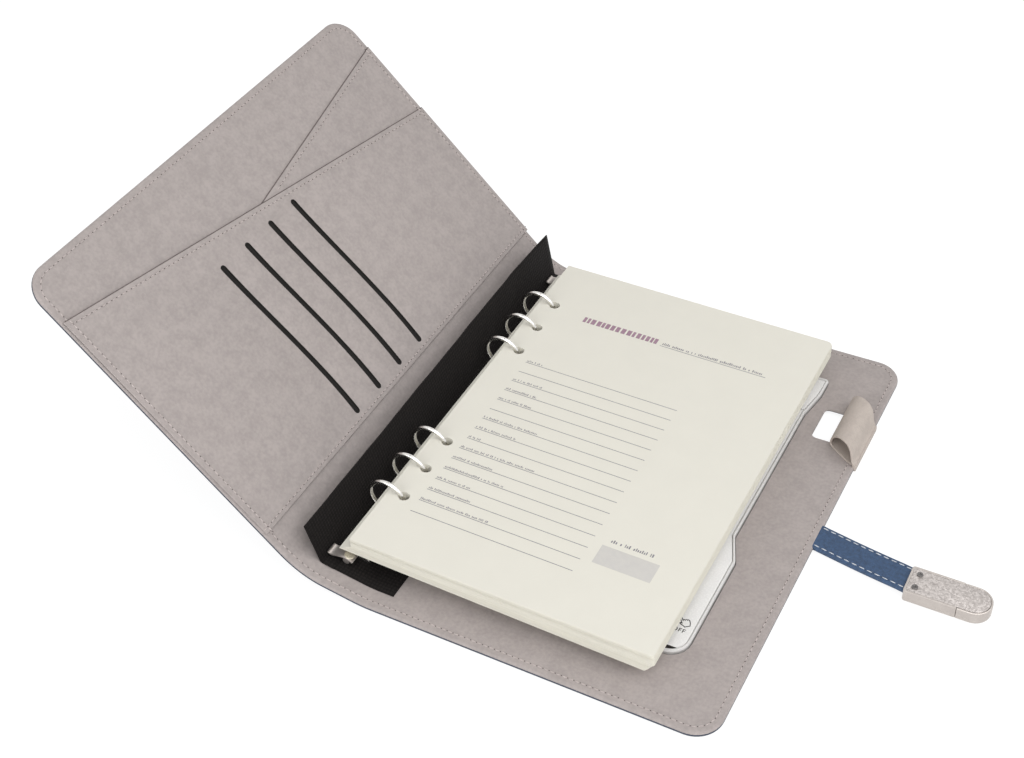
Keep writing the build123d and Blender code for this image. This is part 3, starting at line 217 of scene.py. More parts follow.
def finishes(settings):
    """List the plain finishes: what finish_material needs to make each, by name."""
    lining, skin, strap, paper = (tuple(colour) for colour in (
        settings.lining_colour, settings.skin_colour, settings.strap_colour, settings.paper_colour))

    def tints(colour, low, high):
        return shade(colour, low), shade(colour, high)

    def pair(low, high):
        return srgb(low), srgb(high)

    return {
        # Polyurethane leather with a suede touch: matt, softly mottled, a grain too fine to catch light
        "suede_touch_leather": dict(
            colours=tints(lining, 0.90, 1.09), rough=(0.72, 0.88), grain=1.5, patch=6, bump=0.09,
            Sheen_Weight=0.12, Sheen_Roughness=0.5),
        # The same leather on the outside, dyed navy and pressed with a pebble grain
        "pebbled_leather": dict(
            colours=tints(skin, 0.75, 1.3), rough=(0.45, 0.62), grain=1.1, patch=14, bump=0.10),
        # Strap leather: dyed blue, rubbed a little paler on its high spots
        "dyed_strap_leather": dict(
            colours=tints(strap, 0.62, 1.2), rough=(0.5, 0.7), grain=0.6, patch=1.6, bump=0.08),
        # Grey board: pressed waste paper, raw at its edges
        "grey_board": dict(
            colours=pair("#7d7365", "#978c7b"), rough=(0.85, 0.95), grain=0.5, patch=4, bump=0.03),
        # Pocket edges sealed smoother than the leather, dark as edge paint and as painted shade along them
        "edge_paint_and_shade": dict(
            colours=pair("#5c5351", "#6b615e"), rough=(0.6, 0.75), grain=0.4, patch=2, bump=0.02),
        # Leather of the pen loop: paler and warmer than the lining
        "pale_loop_leather": dict(
            colours=pair("#b7aca4", "#c6bbb2"), rough=(0.7, 0.85), grain=0.7, patch=6, bump=0.05),
        # Screw heads, blackened by an oil finish that still lets the steel glint
        "oiled_screw_steel": dict(
            colours=pair("#6a6766", "#868382"), rough=(0.3, 0.4), grain=0.4, patch=2, metallic=0.9),
        # Black felt behind the card slots and on the slits' walls, with no shine: painted shade inside the
        # slots
        "slot_shade_felt": dict(
            colours=pair("#0e0c0b", "#1a1715"), rough=(0.95, 1.0), grain=0.4, patch=2, bump=0.05),
        # Offset paper: smooth, cream, with a very faint cloudiness
        "offset_paper": dict(
            colours=tints(paper, 0.985, 1.012), rough=(0.82, 0.92), grain=0.3, patch=16, bump=0.006),
        # Guillotined paper edges: fibres stand out in fine streaks along the sheets
        "cut_paper_edge": dict(
            colours=tints(paper, 0.92, 1.06), rough=(0.85, 0.95), grain=0.25, patch=1.2, bump=0.03,
            streak=(0.05, 0.05, 1.0)),
        # Printing inks: flat and soaked in, with no edge to feel
        "grey_ink": dict(colours=pair("#77747c", "#8c8991"), rough=(0.7, 0.8), grain=0.4, patch=3),
        "mauve_ink": dict(colours=pair("#9a7c8c", "#a98c9a"), rough=(0.7, 0.8), grain=0.4, patch=3),
        "box_ink": dict(colours=pair("#cfccc8", "#d5d2cc"), rough=(0.75, 0.85), grain=0.4, patch=3),
        "black_ink": dict(colours=pair("#262626", "#343434"), rough=(0.5, 0.6), grain=0.4, patch=3),
        # Polyester thread dyed as the lining: a little glossier and paler than the leather
        "lining_thread": dict(
            colours=tints(lining, 1.05, 1.5), rough=(0.5, 0.65), grain=0.2, patch=1, bump=0.02),
        # The same thread bleached, for the strap
        "white_thread": dict(
            colours=pair("#b9bec6", "#dadde1"), rough=(0.5, 0.65), grain=0.2, patch=1, bump=0.02),
        # Dark dots at the needle holes: painted shade for the shade inside the holes
        "needle_hole_shade": dict(colours=pair("#453d3b", "#544b48"), rough=(0.9, 1.0), grain=0.3, patch=1),
        # Bright nickel-chrome plate on drawn and pressed steel
        "bright_chrome": dict(
            colours=pair("#dcdad6", "#e9e7e3"), rough=(0.14, 0.24), grain=0.5, patch=6, metallic=1.0),
        # Satin nickel: bead-blasted, with a soft highlight
        "satin_nickel": dict(
            colours=pair("#b9b1ac", "#c8c1bb"), rough=(0.34, 0.46), grain=0.25, patch=5, bump=0.01,
            metallic=0.85),
        # Zinc-plated steel: greyer than chrome, faintly clouded
        "zinc_steel": dict(
            colours=pair("#9f9f9c", "#bcbbb7"), rough=(0.3, 0.45), grain=0.4, patch=4, metallic=1.0),
        # Baked enamel on the lever's rivet head: cream and glossy
        "cream_enamel": dict(
            colours=pair("#cfc7b2", "#ddd6c4"), rough=(0.25, 0.35), grain=0.6, patch=3, metallic=0.5),
        # Injection-moulded ABS: polished on the panels, a little duller on the bezel, matt in the tray
        "polished_abs": dict(
            colours=pair("#ebeae9", "#f0efee"), rough=(0.22, 0.30), grain=0.6, patch=20, bump=0.002),
        "moulded_bezel_abs": dict(
            colours=pair("#e0dfde", "#e7e6e5"), rough=(0.25, 0.34), grain=0.5, patch=12, bump=0.002),
        "matt_abs": dict(colours=pair("#aaa8a6", "#b8b6b4"), rough=(0.5, 0.6), grain=0.4, patch=6),
        "black_abs": dict(colours=pair("#120f0e", "#1d1918"), rough=(0.4, 0.55), grain=0.4, patch=4),
        # Aluminium-laminate pouch of the cells: dull metal with soft dents
        "foil_pouch": dict(
            colours=pair("#9fa2a4", "#b4b6b8"), rough=(0.35, 0.5), grain=1.5, patch=6, bump=0.05,
            metallic=0.8),
        # Solder mask: green lacquer over the board
        "solder_mask": dict(colours=pair("#1a5236", "#236644"), rough=(0.3, 0.4), grain=0.6, patch=5),
        # Rolled copper foil of the touch sensor
        "copper_foil": dict(
            colours=pair("#b07f43", "#c49155"), rough=(0.3, 0.4), grain=0.5, patch=3, metallic=1.0),
        # Acrylic light pipes, seen as pale and glossy from above
        "clear_acrylic": dict(colours=pair("#dde4e8", "#e6ecef"), rough=(0.1, 0.15), grain=0.5, patch=3),
        # Nylon tongue of the plug: white and slightly dull
        "plug_nylon": dict(colours=pair("#e2e2e0", "#ececea"), rough=(0.4, 0.5), grain=0.4, patch=3),
    }


def make_materials(settings):
    """Make every material of the notebook, by name."""
    made = {name: finish_material(name, **values) for name, values in finishes(settings).items()}
    made["dotted_cloth"] = dotted_cloth()
    made["glitter_plate"] = glitter_plate()
    return made


def dotted_cloth():
    """Make bonded black cloth: fibres pressed together at a grid of small dots."""
    material, tree = new_material("dotted_cloth")
    place = add_node(tree, "ShaderNodeUVMap", uv_map="cloth")
    # one embossed dot every 1.6 mm, drawn a little coarser than the real 1.2 mm so that it shows
    cells = add_node(tree, "ShaderNodeTexVoronoi", {
        "Vector": place.outputs["UV"], "Scale": 1 / (1.6 * MM), "Randomness": 0.12}, voronoi_dimensions="2D")
    dots = add_node(tree, "ShaderNodeMapRange", {
        "Value": cells.outputs["Distance"], "From Min": 0.42, "From Max": 0.22})
    fibre = add_node(tree, "ShaderNodeTexNoise", {
        "Vector": place.outputs["UV"], "Scale": 1 / (0.5 * MM), "Detail": 3.0, "Roughness": 0.7})
    height = add_node(tree, "ShaderNodeMath", {
        0: dots.outputs["Result"], 1: fibre.outputs["Fac"]}, operation="ADD")
    tint = add_node(tree, "ShaderNodeMix", {
        "Factor": height.outputs["Value"], 6: srgb("#030202"), 7: srgb("#1f1c1b")}, data_type="RGBA")
    relief = add_node(tree, "ShaderNodeBump", {
        "Height": height.outputs["Value"], "Strength": 1.0, "Distance": 0.12 * MM})
    shader = add_node(tree, "ShaderNodeBsdfPrincipled", {
        "Base Color": tint.outputs[2], "Roughness": 0.7, "Normal": relief.outputs["Normal"],
        "Sheen Weight": 0.03, "Specular IOR Level": 0.1})
    add_node(tree, "ShaderNodeOutputMaterial", {"Surface": shader.outputs["BSDF"]})
    return material


def glitter_plate():
    """Make an etched metal plate: every small facet tilts its own way and glints by itself."""
    material, tree = new_material("glitter_plate")
    place = add_node(tree, "ShaderNodeTexCoord").outputs["Object"]
    # facets about 0.7 mm across, a little coarser than the real etch
    facets = add_node(tree, "ShaderNodeTexVoronoi", {
        "Vector": place, "Scale": 1 / (0.7 * MM), "Randomness": 1.0})
    tone = add_node(tree, "ShaderNodeSeparateColor", {"Color": facets.outputs["Color"]})
    tint = add_node(tree, "ShaderNodeMix", {
        "Factor": tone.outputs["Red"], 6: srgb("#aca5a1"), 7: srgb("#d6cfcb")}, data_type="RGBA")
    relief = add_node(tree, "ShaderNodeBump", {
        "Height": tone.outputs["Green"], "Strength": 1.0, "Distance": 0.07 * MM})
    shader = add_node(tree, "ShaderNodeBsdfPrincipled", {
        "Base Color": tint.outputs[2], "Roughness": 0.42, "Metallic": 0.5,
        "Normal": relief.outputs["Normal"]})
    add_node(tree, "ShaderNodeOutputMaterial", {"Surface": shader.outputs["BSDF"]})
    return material


# The cover's line
def run_point(s):
    """Give the point and the slope on the cover's unrounded line, at a distance from the back fold."""
    if s >= 0:
        return Vector((FOLD_X + s, FOLD_Z)), 0.0
    lower = min(-s, -BEND_S)
    upper = min(max(BEND_S - s, 0), BEND_S - FRONT_FOLD_S)
    front = max(FRONT_FOLD_S - s, 0)
    slope = LOWER_SLOPE if s > BEND_S else UPPER_SLOPE if s > FRONT_FOLD_S else FRONT_SLOPE
    x = FOLD_X - lower * math.cos(LOWER_SLOPE) - upper * math.cos(UPPER_SLOPE) - front * math.cos(FRONT_SLOPE)
    z = FOLD_Z + lower * math.sin(LOWER_SLOPE) + upper * math.sin(UPPER_SLOPE) + front * math.sin(FRONT_SLOPE)
    return Vector((x, z)), slope


def on_cover(s, y, h):
    """Place a point of a spread-out sheet on the cover: s along it, y along the spine, h above its skin."""
    for corner, reach in BENDS:
        if abs(s - corner) < reach:
            near = run_point(corner + reach)[0]
            middle = run_point(corner)[0]
            far = run_point(corner - reach)[0]
            t = (corner + reach - s) / (2 * reach)
            point = near * (1 - t) ** 2 + middle * (2 * t * (1 - t)) + far * t ** 2
            along = (middle - near) * (1 - t) + (far - middle) * t
            slope = math.atan2(along.y, -along.x)
            break
    else:
        point, slope = run_point(s)
    return Vector((point.x + h * math.sin(slope), y, point.y + h * math.cos(slope))) * MM


# Outlines, in millimetres
def arc(cx, cy, radius, start, end, steps):
    """Give the points of an arc, angles in degrees."""
    turn = [math.radians(start + (end - start) * k / steps) for k in range(steps + 1)]
    return [(cx + radius * math.cos(a), cy + radius * math.sin(a)) for a in turn]


def offset_outline(points, amount):
    """Move a closed outline inwards by an amount; the points run anticlockwise."""
    moved = []
    count = len(points)
    for k in range(count):
        before, here, after = (Vector(points[(k + d) % count]) for d in (-1, 0, 1))
        first, second = (here - before).normalized(), (after - here).normalized()
        normal_a, normal_b = Vector((-first.y, first.x)), Vector((-second.y, second.x))
        middle = (normal_a + normal_b).normalized()
        stretch = max(middle.dot(normal_a), 0.35)
        moved.append(tuple(here + middle * (amount / stretch)))
    return moved


def cover_outline(inset=0.0, from_s=FRONT_EDGE_S, to_s=BACK_EDGE_S, steps=12):
    """Give the outline of the spread-out cover between two places; a real edge gets round corners."""
    top = HALF_HEIGHT - inset
    radius = CORNER - inset
    points = []
    if to_s == BACK_EDGE_S:
        edge = to_s - inset
        points += arc(edge - radius, -top + radius, radius, -90, 0, steps)
        points += arc(edge - radius, top - radius, radius, 0, 90, steps)
    else:
        points += [(to_s, -top), (to_s, top)]
    if from_s == FRONT_EDGE_S:
        edge = from_s + inset
        points += arc(edge + radius, top - radius, radius, 90, 180, steps)
        points += arc(edge + radius, -top + radius, radius, 180, 270, steps)
    else:
        points += [(from_s, top), (from_s, -top)]
    return points


def window_outline(grow=0.0):
    """Give the rounded window beside the pen loop, in spread-out coordinates."""
    # its left, right, lower and upper side before it grows, and the radius of its corners
    left, right = 55.55 - FOLD_X - grow, 67.2 - FOLD_X + grow
    low, high, radius = 57.0 - grow, 78.2 + grow, 2.4 + grow
    points = []
    for x, y, start in ((right - radius, low + radius, -90), (right - radius, high - radius, 0),
                        (left + radius, high - radius, 90), (left + radius, low + radius, 180)):
        points += arc(x, y, radius, start, start + 90, ROUND_STEPS)
    return points


def bank_outline(grow=0.0):
    """Give the power bank's outline, in the table's coordinates."""
    # each corner's X, Y and radius
    corners = [(-46.0, 95.3, 9.0), (-46.0, -89.0, 9.0), (53.85, -89.0, 9.0), (53.85, -32.0, 1.8),
               (48.05, -18.0, 1.8), (48.05, 68.5, 1.8), (50.75, 84.0, 1.8), (50.75, 95.3, 1.5)]
    points = []
    count = len(corners)
    for k, (x, y, radius) in enumerate(corners):
        here = Vector((x, y))
        to_before = (Vector(corners[k - 1][:2]) - here).normalized()
        to_after = (Vector(corners[(k + 1) % count][:2]) - here).normalized()
        half = to_before.angle(to_after) / 2
        centre = here + (to_before + to_after).normalized() * (radius / math.sin(half))
        start, end = (here + way * (radius / math.tan(half)) - centre for way in (to_before, to_after))
        first = math.atan2(start.y, start.x)
        sweep = (math.atan2(end.y, end.x) - first + math.pi) % math.tau - math.pi
        points += arc(*centre, radius, math.degrees(first), math.degrees(first + sweep), ROUND_STEPS)
    return offset_outline(points, -grow) if grow else points


def clip_band(points, low, high):
    """Cut a closed outline to the band between two places along Y."""
    for level, side in ((low, 1), (high, -1)):
        kept = []
        for k, here in enumerate(points):
            before = points[k - 1]
            inside, was_inside = (side * (p[1] - level) >= 0 for p in (here, before))
            if inside != was_inside:
                t = (level - before[1]) / (here[1] - before[1])
                kept.append((before[0] + t * (here[0] - before[0]), level))
            if inside:
                kept.append(here)
        points = kept
    return points


# Mesh building
def shade_smooth(bm, angle):
    """Shade a bmesh smooth, but keep edges sharper than an angle in degrees crisp."""
    limit = math.radians(angle)
    for face in bm.faces:
        face.smooth = True
    for edge in bm.edges:
        edge.smooth = len(edge.link_faces) == 2 and edge.calc_face_angle(0) < limit


def to_mesh(name, bm):
    """Turn a bmesh into a mesh and free it."""
    mesh = bpy.data.meshes.new(name)
    bm.to_mesh(mesh)
    bm.free()
    return mesh


def link_object(name, data, materials=(), body=None):
    """Put a mesh or other data in the scene, with its materials and the body that it rides on."""
    for item in materials:
        data.materials.append(item)
    made = bpy.data.objects.new(name, data)
    bpy.context.scene.collection.objects.link(made)
    if body:
        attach(made, body)
    return made


def new_object(name, bm, materials, body=None, smooth_angle=38.0):
    """Turn a bmesh in metres into an object, smooth-shaded up to an angle."""
    bmesh.ops.remove_doubles(bm, verts=bm.verts, dist=WELD)
    bmesh.ops.recalc_face_normals(bm, faces=bm.faces)
    shade_smooth(bm, smooth_angle)
    return link_object(name, to_mesh(name, bm), materials, body)


def plate(outline, levels, holes=(), cuts=(), place=None, keep=None, hole_slot=0, hole_share=1.0, painted=0):
    """Build a closed plate from an outline, as a bmesh.

    levels: (inset, height) pairs from the bottom face to the top face, which shape the edge;
    holes: clockwise outlines cut straight through, with the same edge; cuts: places along X where faces
    are split; place: gives the final position of a point; keep: a place along X where the next sheet joins,
    so that the edge stays square there; hole_slot: material slot of the holes' walls; hole_share: how much
    of the inset the holes get; painted: how many of the outline's first sides take material slot 1.
    """
    bm = bmesh.new()
    bottom_edges, top_edges = [], []
    for number, points in enumerate([outline, *holes]):
        rows = []
        for inset, height in levels:
            row = offset_outline(points, inset * (hole_share if number else 1.0)) if inset else points
            if keep is not None:
                row = [(old[0] if abs(old[0] - keep) < 0.01 else new[0], new[1])
                       for old, new in zip(points, row)]
            rows.append([bm.verts.new((x, y, height)) for x, y in row])
        count = len(points)
        for lower, upper in zip(rows, rows[1:]):
            for k in range(count):
                face = bm.faces.new((lower[k], lower[(k + 1) % count], upper[(k + 1) % count], upper[k]))
                face.material_index = hole_slot if number else int(k < painted)
        bottom_edges += [bm.edges.get((rows[0][k], rows[0][(k + 1) % count])) for k in range(count)]
        top_edges += [bm.edges.get((rows[-1][k], rows[-1][(k + 1) % count])) for k in range(count)]
    for edges in (bottom_edges, top_edges):
        bmesh.ops.triangle_fill(bm, edges=edges, use_beauty=True, use_dissolve=False)
    for cut in cuts:
        bmesh.ops.bisect_plane(bm, geom=bm.verts[:] + bm.edges[:] + bm.faces[:], plane_co=(cut, 0, 0),
                               plane_no=(1, 0, 0), dist=1e-5)
    bmesh.ops.recalc_face_normals(bm, faces=bm.faces)
    if place:
        for vert in bm.verts:
            vert.co = place(*vert.co)
    else:
        bmesh.ops.scale(bm, vec=(MM, MM, MM), verts=bm.verts)
    return bm


def bend_cuts(low, high):
    """Give the places where a sheet is split so that it can follow the folds: every 0.9 mm round them."""
    return [p for p in (k * 0.9 for k in range(-52, 10)) if low < p < high]


def add_modifier(made, name, kind, **settings):
    """Add a modifier and set its properties."""
    added = made.modifiers.new(name, kind)
    for key, value in settings.items():
        setattr(added, key, value)


def evaluated_mesh(made):
    """Give an object's mesh with its modifiers applied."""
    bpy.context.view_layer.update()
    graph = bpy.context.evaluated_depsgraph_get()
    return bpy.data.meshes.new_from_object(made.evaluated_get(graph), depsgraph=graph)


def bake(made):
    """Apply an object's modifiers to its mesh."""
    mesh = evaluated_mesh(made)
    made.modifiers.clear()
    made.data = mesh


def hard_copy(name, node, finish, bevel, body, segments=2):
    """Copy a rigid frame node, round its edges by a bevel in millimetres and let the copy stand for it."""
    bm = bmesh.new()
    bm.from_mesh(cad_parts[node].data)
    bmesh.ops.remove_doubles(bm, verts=bm.verts, dist=CAD_WELD)
    bmesh.ops.dissolve_limit(bm, angle_limit=math.radians(1.0), verts=bm.verts, edges=bm.edges)
    made = new_object(name, bm, [MATERIALS[finish]])
    if bevel:
        add_modifier(made, "rounding", "BEVEL", width=bevel * MM, segments=segments,
                     limit_method="ANGLE", angle_limit=math.radians(35))
        bake(made)
        bm = bmesh.new()
        bm.from_mesh(made.data)
        shade_smooth(bm, 32.0)
        bm.to_mesh(made.data)
        bm.free()
    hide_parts(node)
    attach(made, body)


# Stitching, made with geometry nodes
def stitch_tree(thread, hole):
    """Build the node tree that sews thread along a curve, with dark dots of painted shade for the needle
    holes.
    """
    tree = bpy.data.node_groups.new("sewn_row", "GeometryNodeTree")
    tree.is_modifier = True
    face = tree.interface
    face.new_socket("Geometry", in_out="INPUT", socket_type="NodeSocketGeometry")
    for label in ("Pitch", "Thread radius", "Thread length", "Hole radius"):
        face.new_socket(label, in_out="INPUT", socket_type="NodeSocketFloat")
    face.new_socket("Geometry", in_out="OUTPUT", socket_type="NodeSocketGeometry")
    start = add_node(tree, "NodeGroupInput")
    points = add_node(tree, "GeometryNodeCurveToPoints", {
        "Curve": start.outputs["Geometry"], "Length": start.outputs["Pitch"]}, mode="LENGTH")
    turn = add_node(tree, "FunctionNodeAlignRotationToVector", {
        "Vector": points.outputs["Tangent"]}, axis="Z")
    drop = add_node(tree, "GeometryNodeMeshUVSphere", {"Segments": 8, "Rings": 6, "Radius": 1.0})
    size = add_node(tree, "ShaderNodeCombineXYZ", {
        "X": start.outputs["Thread radius"], "Y": start.outputs["Thread radius"],
        "Z": start.outputs["Thread length"]})
    sewn = add_node(tree, "GeometryNodeInstanceOnPoints", {
        "Points": points.outputs["Points"], "Instance": drop.outputs["Mesh"],
        "Rotation": turn.outputs["Rotation"], "Scale": size.outputs["Vector"]})
    sewn_mesh = add_node(tree, "GeometryNodeRealizeInstances", {"Geometry": sewn.outputs["Instances"]})
    sewn_done = add_node(tree, "GeometryNodeSetMaterial", {
        "Geometry": sewn_mesh.outputs["Geometry"], "Material": thread})
    half = add_node(tree, "ShaderNodeMath", {0: start.outputs["Pitch"], 1: 0.5}, operation="MULTIPLY")
    step = add_node(tree, "ShaderNodeVectorMath", {0: points.outputs["Tangent"]}, operation="SCALE")
    tree.links.new(half.outputs["Value"], step.inputs["Scale"])
    moved = add_node(tree, "GeometryNodeSetPosition", {
        "Geometry": points.outputs["Points"], "Offset": step.outputs["Vector"]})
    # dark dots halfway between the stitches: painted shade of the needle holes
    dot = add_node(tree, "GeometryNodeMeshIcoSphere", {
        "Radius": start.outputs["Hole radius"], "Subdivisions": 1})
    holes = add_node(tree, "GeometryNodeInstanceOnPoints", {
        "Points": moved.outputs["Geometry"], "Instance": dot.outputs["Mesh"]})
    hole_mesh = add_node(tree, "GeometryNodeRealizeInstances", {"Geometry": holes.outputs["Instances"]})
    hole_done = add_node(tree, "GeometryNodeSetMaterial", {
        "Geometry": hole_mesh.outputs["Geometry"], "Material": hole})
    both = add_node(tree, "GeometryNodeJoinGeometry")
    tree.links.new(sewn_done.outputs["Geometry"], both.inputs["Geometry"])
    tree.links.new(hole_done.outputs["Geometry"], both.inputs["Geometry"])
    add_node(tree, "NodeGroupOutput", {"Geometry": both.outputs["Geometry"]})
    return tree


def sew(name, rows, thread, pitch, radius, length_share=0.36, hole_radius=None):
    """Sew rows of points with a thread, by its material's name, and give one plain mesh object.

    length_share: half a stitch's length as a share of the pitch; hole_radius: left out, it suits the thread.
    """
    key = "sewn_" + thread
    tree = bpy.data.node_groups.get(key)
    if tree is None:
        tree = stitch_tree(MATERIALS[thread], MATERIALS["needle_hole_shade"])
        tree.name = key
    curve = bpy.data.curves.new(name + "_path", "CURVE")
    curve.dimensions = "3D"
    for row in rows:
        spline = curve.splines.new("POLY")
        spline.points.add(len(row) - 1)
        for point, place in zip(spline.points, row):
            point.co = (*place, 1.0)
    carrier = link_object(name + "_path", curve)
    maker = carrier.modifiers.new("sewing", "NODES")
    maker.node_group = tree
    sizes = {"Pitch": pitch, "Thread radius": radius, "Thread length": pitch * length_share,
             "Hole radius": hole_radius or radius * 0.85}
    for item in tree.interface.items_tree:
        if item.in_out == "INPUT" and item.name in sizes:
            maker[item.identifier] = sizes[item.name]
    mesh = evaluated_mesh(carrier)
    mesh.name = name
    bpy.data.objects.remove(carrier)
    for polygon in mesh.polygons:
        polygon.use_smooth = True
    return link_object(name, mesh)


def dense(points, step=1.0):
    """Add points along straight runs so that a row can follow a bend."""
    out = []
    for (ax, ay), (bx, by) in zip(points, points[1:]):
        count = max(1, int(math.hypot(bx - ax, by - ay) / step))
        out += [(ax + (bx - ax) * k / count, ay + (by - ay) * k / count) for k in range(count)]
    return out + [points[-1]]


# Where the sheets bend at the two folds, and where each sheet over both is split in two pieces
BACK_BEND = (on_cover(5.5, 0, 1.0), on_cover(-6.0, 0, 1.0))
FRONT_BEND = (on_cover(-32.5, 0, 1.0), on_cover(-44.5, 0, 1.0))
SPINE_SPLIT = -15.0

# How far the leather's outline stays inside the cover's, how high thread and ink lie over their
# sheet, and how far the pockets' seams keep from their edges
COVER_INSET, THREAD_RISE, INK_RISE, POCKET_SEAM = 0.5, 0.02, 0.03, 2.7


class NOTEBOOK_OT_cover(bpy.types.Operator):
    """Make the outer skin and the lining, each one sheet over a fold"""

    bl_idname = "notebook.cover"
    bl_label = "Cover"

    def execute(self, context):
        bank_opening = [(x - FOLD_X, y) for x, y in bank_outline(0.2)]
        # name, ending of the nodes' names, finish, edge from below to above, openings in the back half,
        # and the share of the edge's inset that these get
        sheets = (
            ("outer_skin_", "_skin", "pebbled_leather",
             [(1.3, -0.4), (0.6, -0.2), (0.15, 0.25), (0.0, 0.8), (0.0, 1.52)], [window_outline(1.0)], 1.0),
            ("lining_", "_lining", "suede_touch_leather",
             [(0.0, 1.5), (0.08, 1.85), (0.4, 2.3), (0.9, 2.5), (1.7, INNER)],
             [window_outline(), bank_opening], 0.12),
        )
        for label, low, high, bodies, bend, nodes in (
            ("back", SPINE_SPLIT, BACK_EDGE_S, ("back_cover", "spine"), BACK_BEND, ("back_cover", "spine")),
            ("front", FRONT_EDGE_S, SPINE_SPLIT, ("spine", "front_cover"), FRONT_BEND, ("front_cover",)),
        ):
            outline, cuts = cover_outline(COVER_INSET, low, high), bend_cuts(low, high)
            for name, ending, finish, edge, openings, share in sheets:
                holes = [opening[::-1] for opening in openings] if label == "back" else []
                bm = plate(outline, edge, holes, cuts, on_cover, SPINE_SPLIT, hole_share=share)
                made = new_object(name + label, bm, [MATERIALS[finish]])
                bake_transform(made)
                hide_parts(*[node + ending for node in nodes])
        return {"FINISHED"}


# Where the two pocket edges cross, how much each leans for every millimetre along the spine,
# and how high the pockets' faces lie
POCKET_MEET_S, POCKET_MEET_Y = POCKET_START_S - 103.6, -0.6
LOWER_LEAN, UPPER_LEAN = math.tan(math.radians(9.1)), -math.tan(math.radians(10.0))
UPPER_TOP, LOWER_TOP = INNER + 0.6, INNER + 1.5

# Card slots in the lower pocket: their places along the spine, length, width and outer end, and the
# numbers of points on their long sides and round ends
SLOT_Y = (-40.5, -21.8, -3.2, 15.3)
SLOT_LENGTH, SLOT_WIDTH = 90.3, 2.2
SLOT_START_S = POCKET_START_S - 4.7 - SLOT_LENGTH
SLOT_STEPS, SLOT_END_STEPS = 24, 5


def pocket_edge(lean, y):
    """Give the place of a pocket's slanting edge along the spread-out cover."""
    return POCKET_MEET_S + (y - POCKET_MEET_Y) * lean


def pocket_level(s, y):
    """Give the height of the topmost sheet inside the front cover."""
    if s > pocket_edge(LOWER_LEAN, y):
        return LOWER_TOP
    if y > POCKET_MEET_Y and s > pocket_edge(UPPER_LEAN, y):
        return UPPER_TOP
    return INNER


def pocket_points(lean):
    """Give the outline of the pocket whose edge leans so, on the spread-out cover."""
    start, top = POCKET_START_S, HALF_HEIGHT - 1.0
    corner = (pocket_edge(lean, top), top)
    if lean == LOWER_LEAN:
        return [corner, (pocket_edge(lean, -top), -top), (start, -top), (start, top)]
    # the upper pocket runs on under the lower one, to a place out of sight
    start -= 1
    return [corner, (POCKET_MEET_S, POCKET_MEET_Y), (POCKET_MEET_S + 40, -top), (start, -top), (start, top)]


def slot_outline(y):
    """Give one card slot, a long slit with round ends: bowed along its length, narrowest in the middle."""
    half = SLOT_WIDTH / 2
    low, high = [], []
    for k in range(SLOT_STEPS + 1):
        t = k / SLOT_STEPS
        x = SLOT_START_S + half + (SLOT_LENGTH - SLOT_WIDTH) * t
        middle = y - 1.5 + 11.4 * t ** 2 - 10.4 * t ** 3
        spread = half * (0.86 + 0.14 * (2 * t - 1) ** 2)
        low.append((x, middle - spread))
        high.append((x, middle + spread))
    right = arc(low[-1][0], low[-1][1] + half, half, -90, 90, SLOT_END_STEPS)[1:-1]
    left = arc(low[0][0], low[0][1] + half, half, 90, 270, SLOT_END_STEPS)[1:-1]
    return low + right + high[::-1] + left


class NOTEBOOK_OT_pockets(bpy.types.Operator):
    """Make the two pockets and the card slots inside the front cover"""

    bl_idname = "notebook.pockets"
    bl_label = "Pockets"

    def execute(self, context):
        slots = [slot_outline(y)[::-1] for y in SLOT_Y]
        for name, lean, edge, holes in (
            ("upper_pocket", UPPER_LEAN, [(0.0, INNER + 0.1), (0.0, INNER + 0.5), (0.45, UPPER_TOP)], []),
            ("lower_pocket", LOWER_LEAN,
             [(0.0, INNER + 0.9), (0.0, INNER + 1.25), (0.15, INNER + 1.43), (0.45, LOWER_TOP)], slots),
        ):
            # the slots' walls take the black felt: painted shade inside the slits
            bm = plate(pocket_points(lean), edge, holes, place=on_cover, hole_slot=2, painted=1)
            # the slanting edge's side and lip take the dark edge: edge paint and painted shade
            finishes = ("suede_touch_leather", "edge_paint_and_shade", "slot_shade_felt")[:3 if holes else 2]
            made = new_object(name, bm, [MATERIALS[finish] for finish in finishes], "front_cover")
            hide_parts("front_" + name)
        return {"FINISHED"}


def edge_rows(low, high, inset):
    """Give the stitching rows along the cover's edge between two places, as points in metres."""
    rows, row = [], []
    outline = cover_outline(inset, steps=16)
    for s, y in dense(outline + outline[:1], 1.0):
        if low <= s <= high:
            level = pocket_level(s, y) if s < POCKET_START_S else INNER
            row.append(on_cover(s, y, level + THREAD_RISE))
        elif row:
            rows.append(row)
            row = []
    if row and rows and (rows[0][0] - row[-1]).length < 3.0 * MM:
        rows[0] = row + rows[0]
    elif row:
        rows.append(row)
    return rows


# How far the pockets' seams reach along the spine: slanting ones, the one at the fold, and where the
# upper pocket's starts; and how far the one at the fold keeps from the pockets' straight edge
SLANT_SEAM_END, FOLD_SEAM_END, UPPER_SEAM_START, FOLD_SEAM_INSET = 117.0, 119.0, 14.0, 2.0


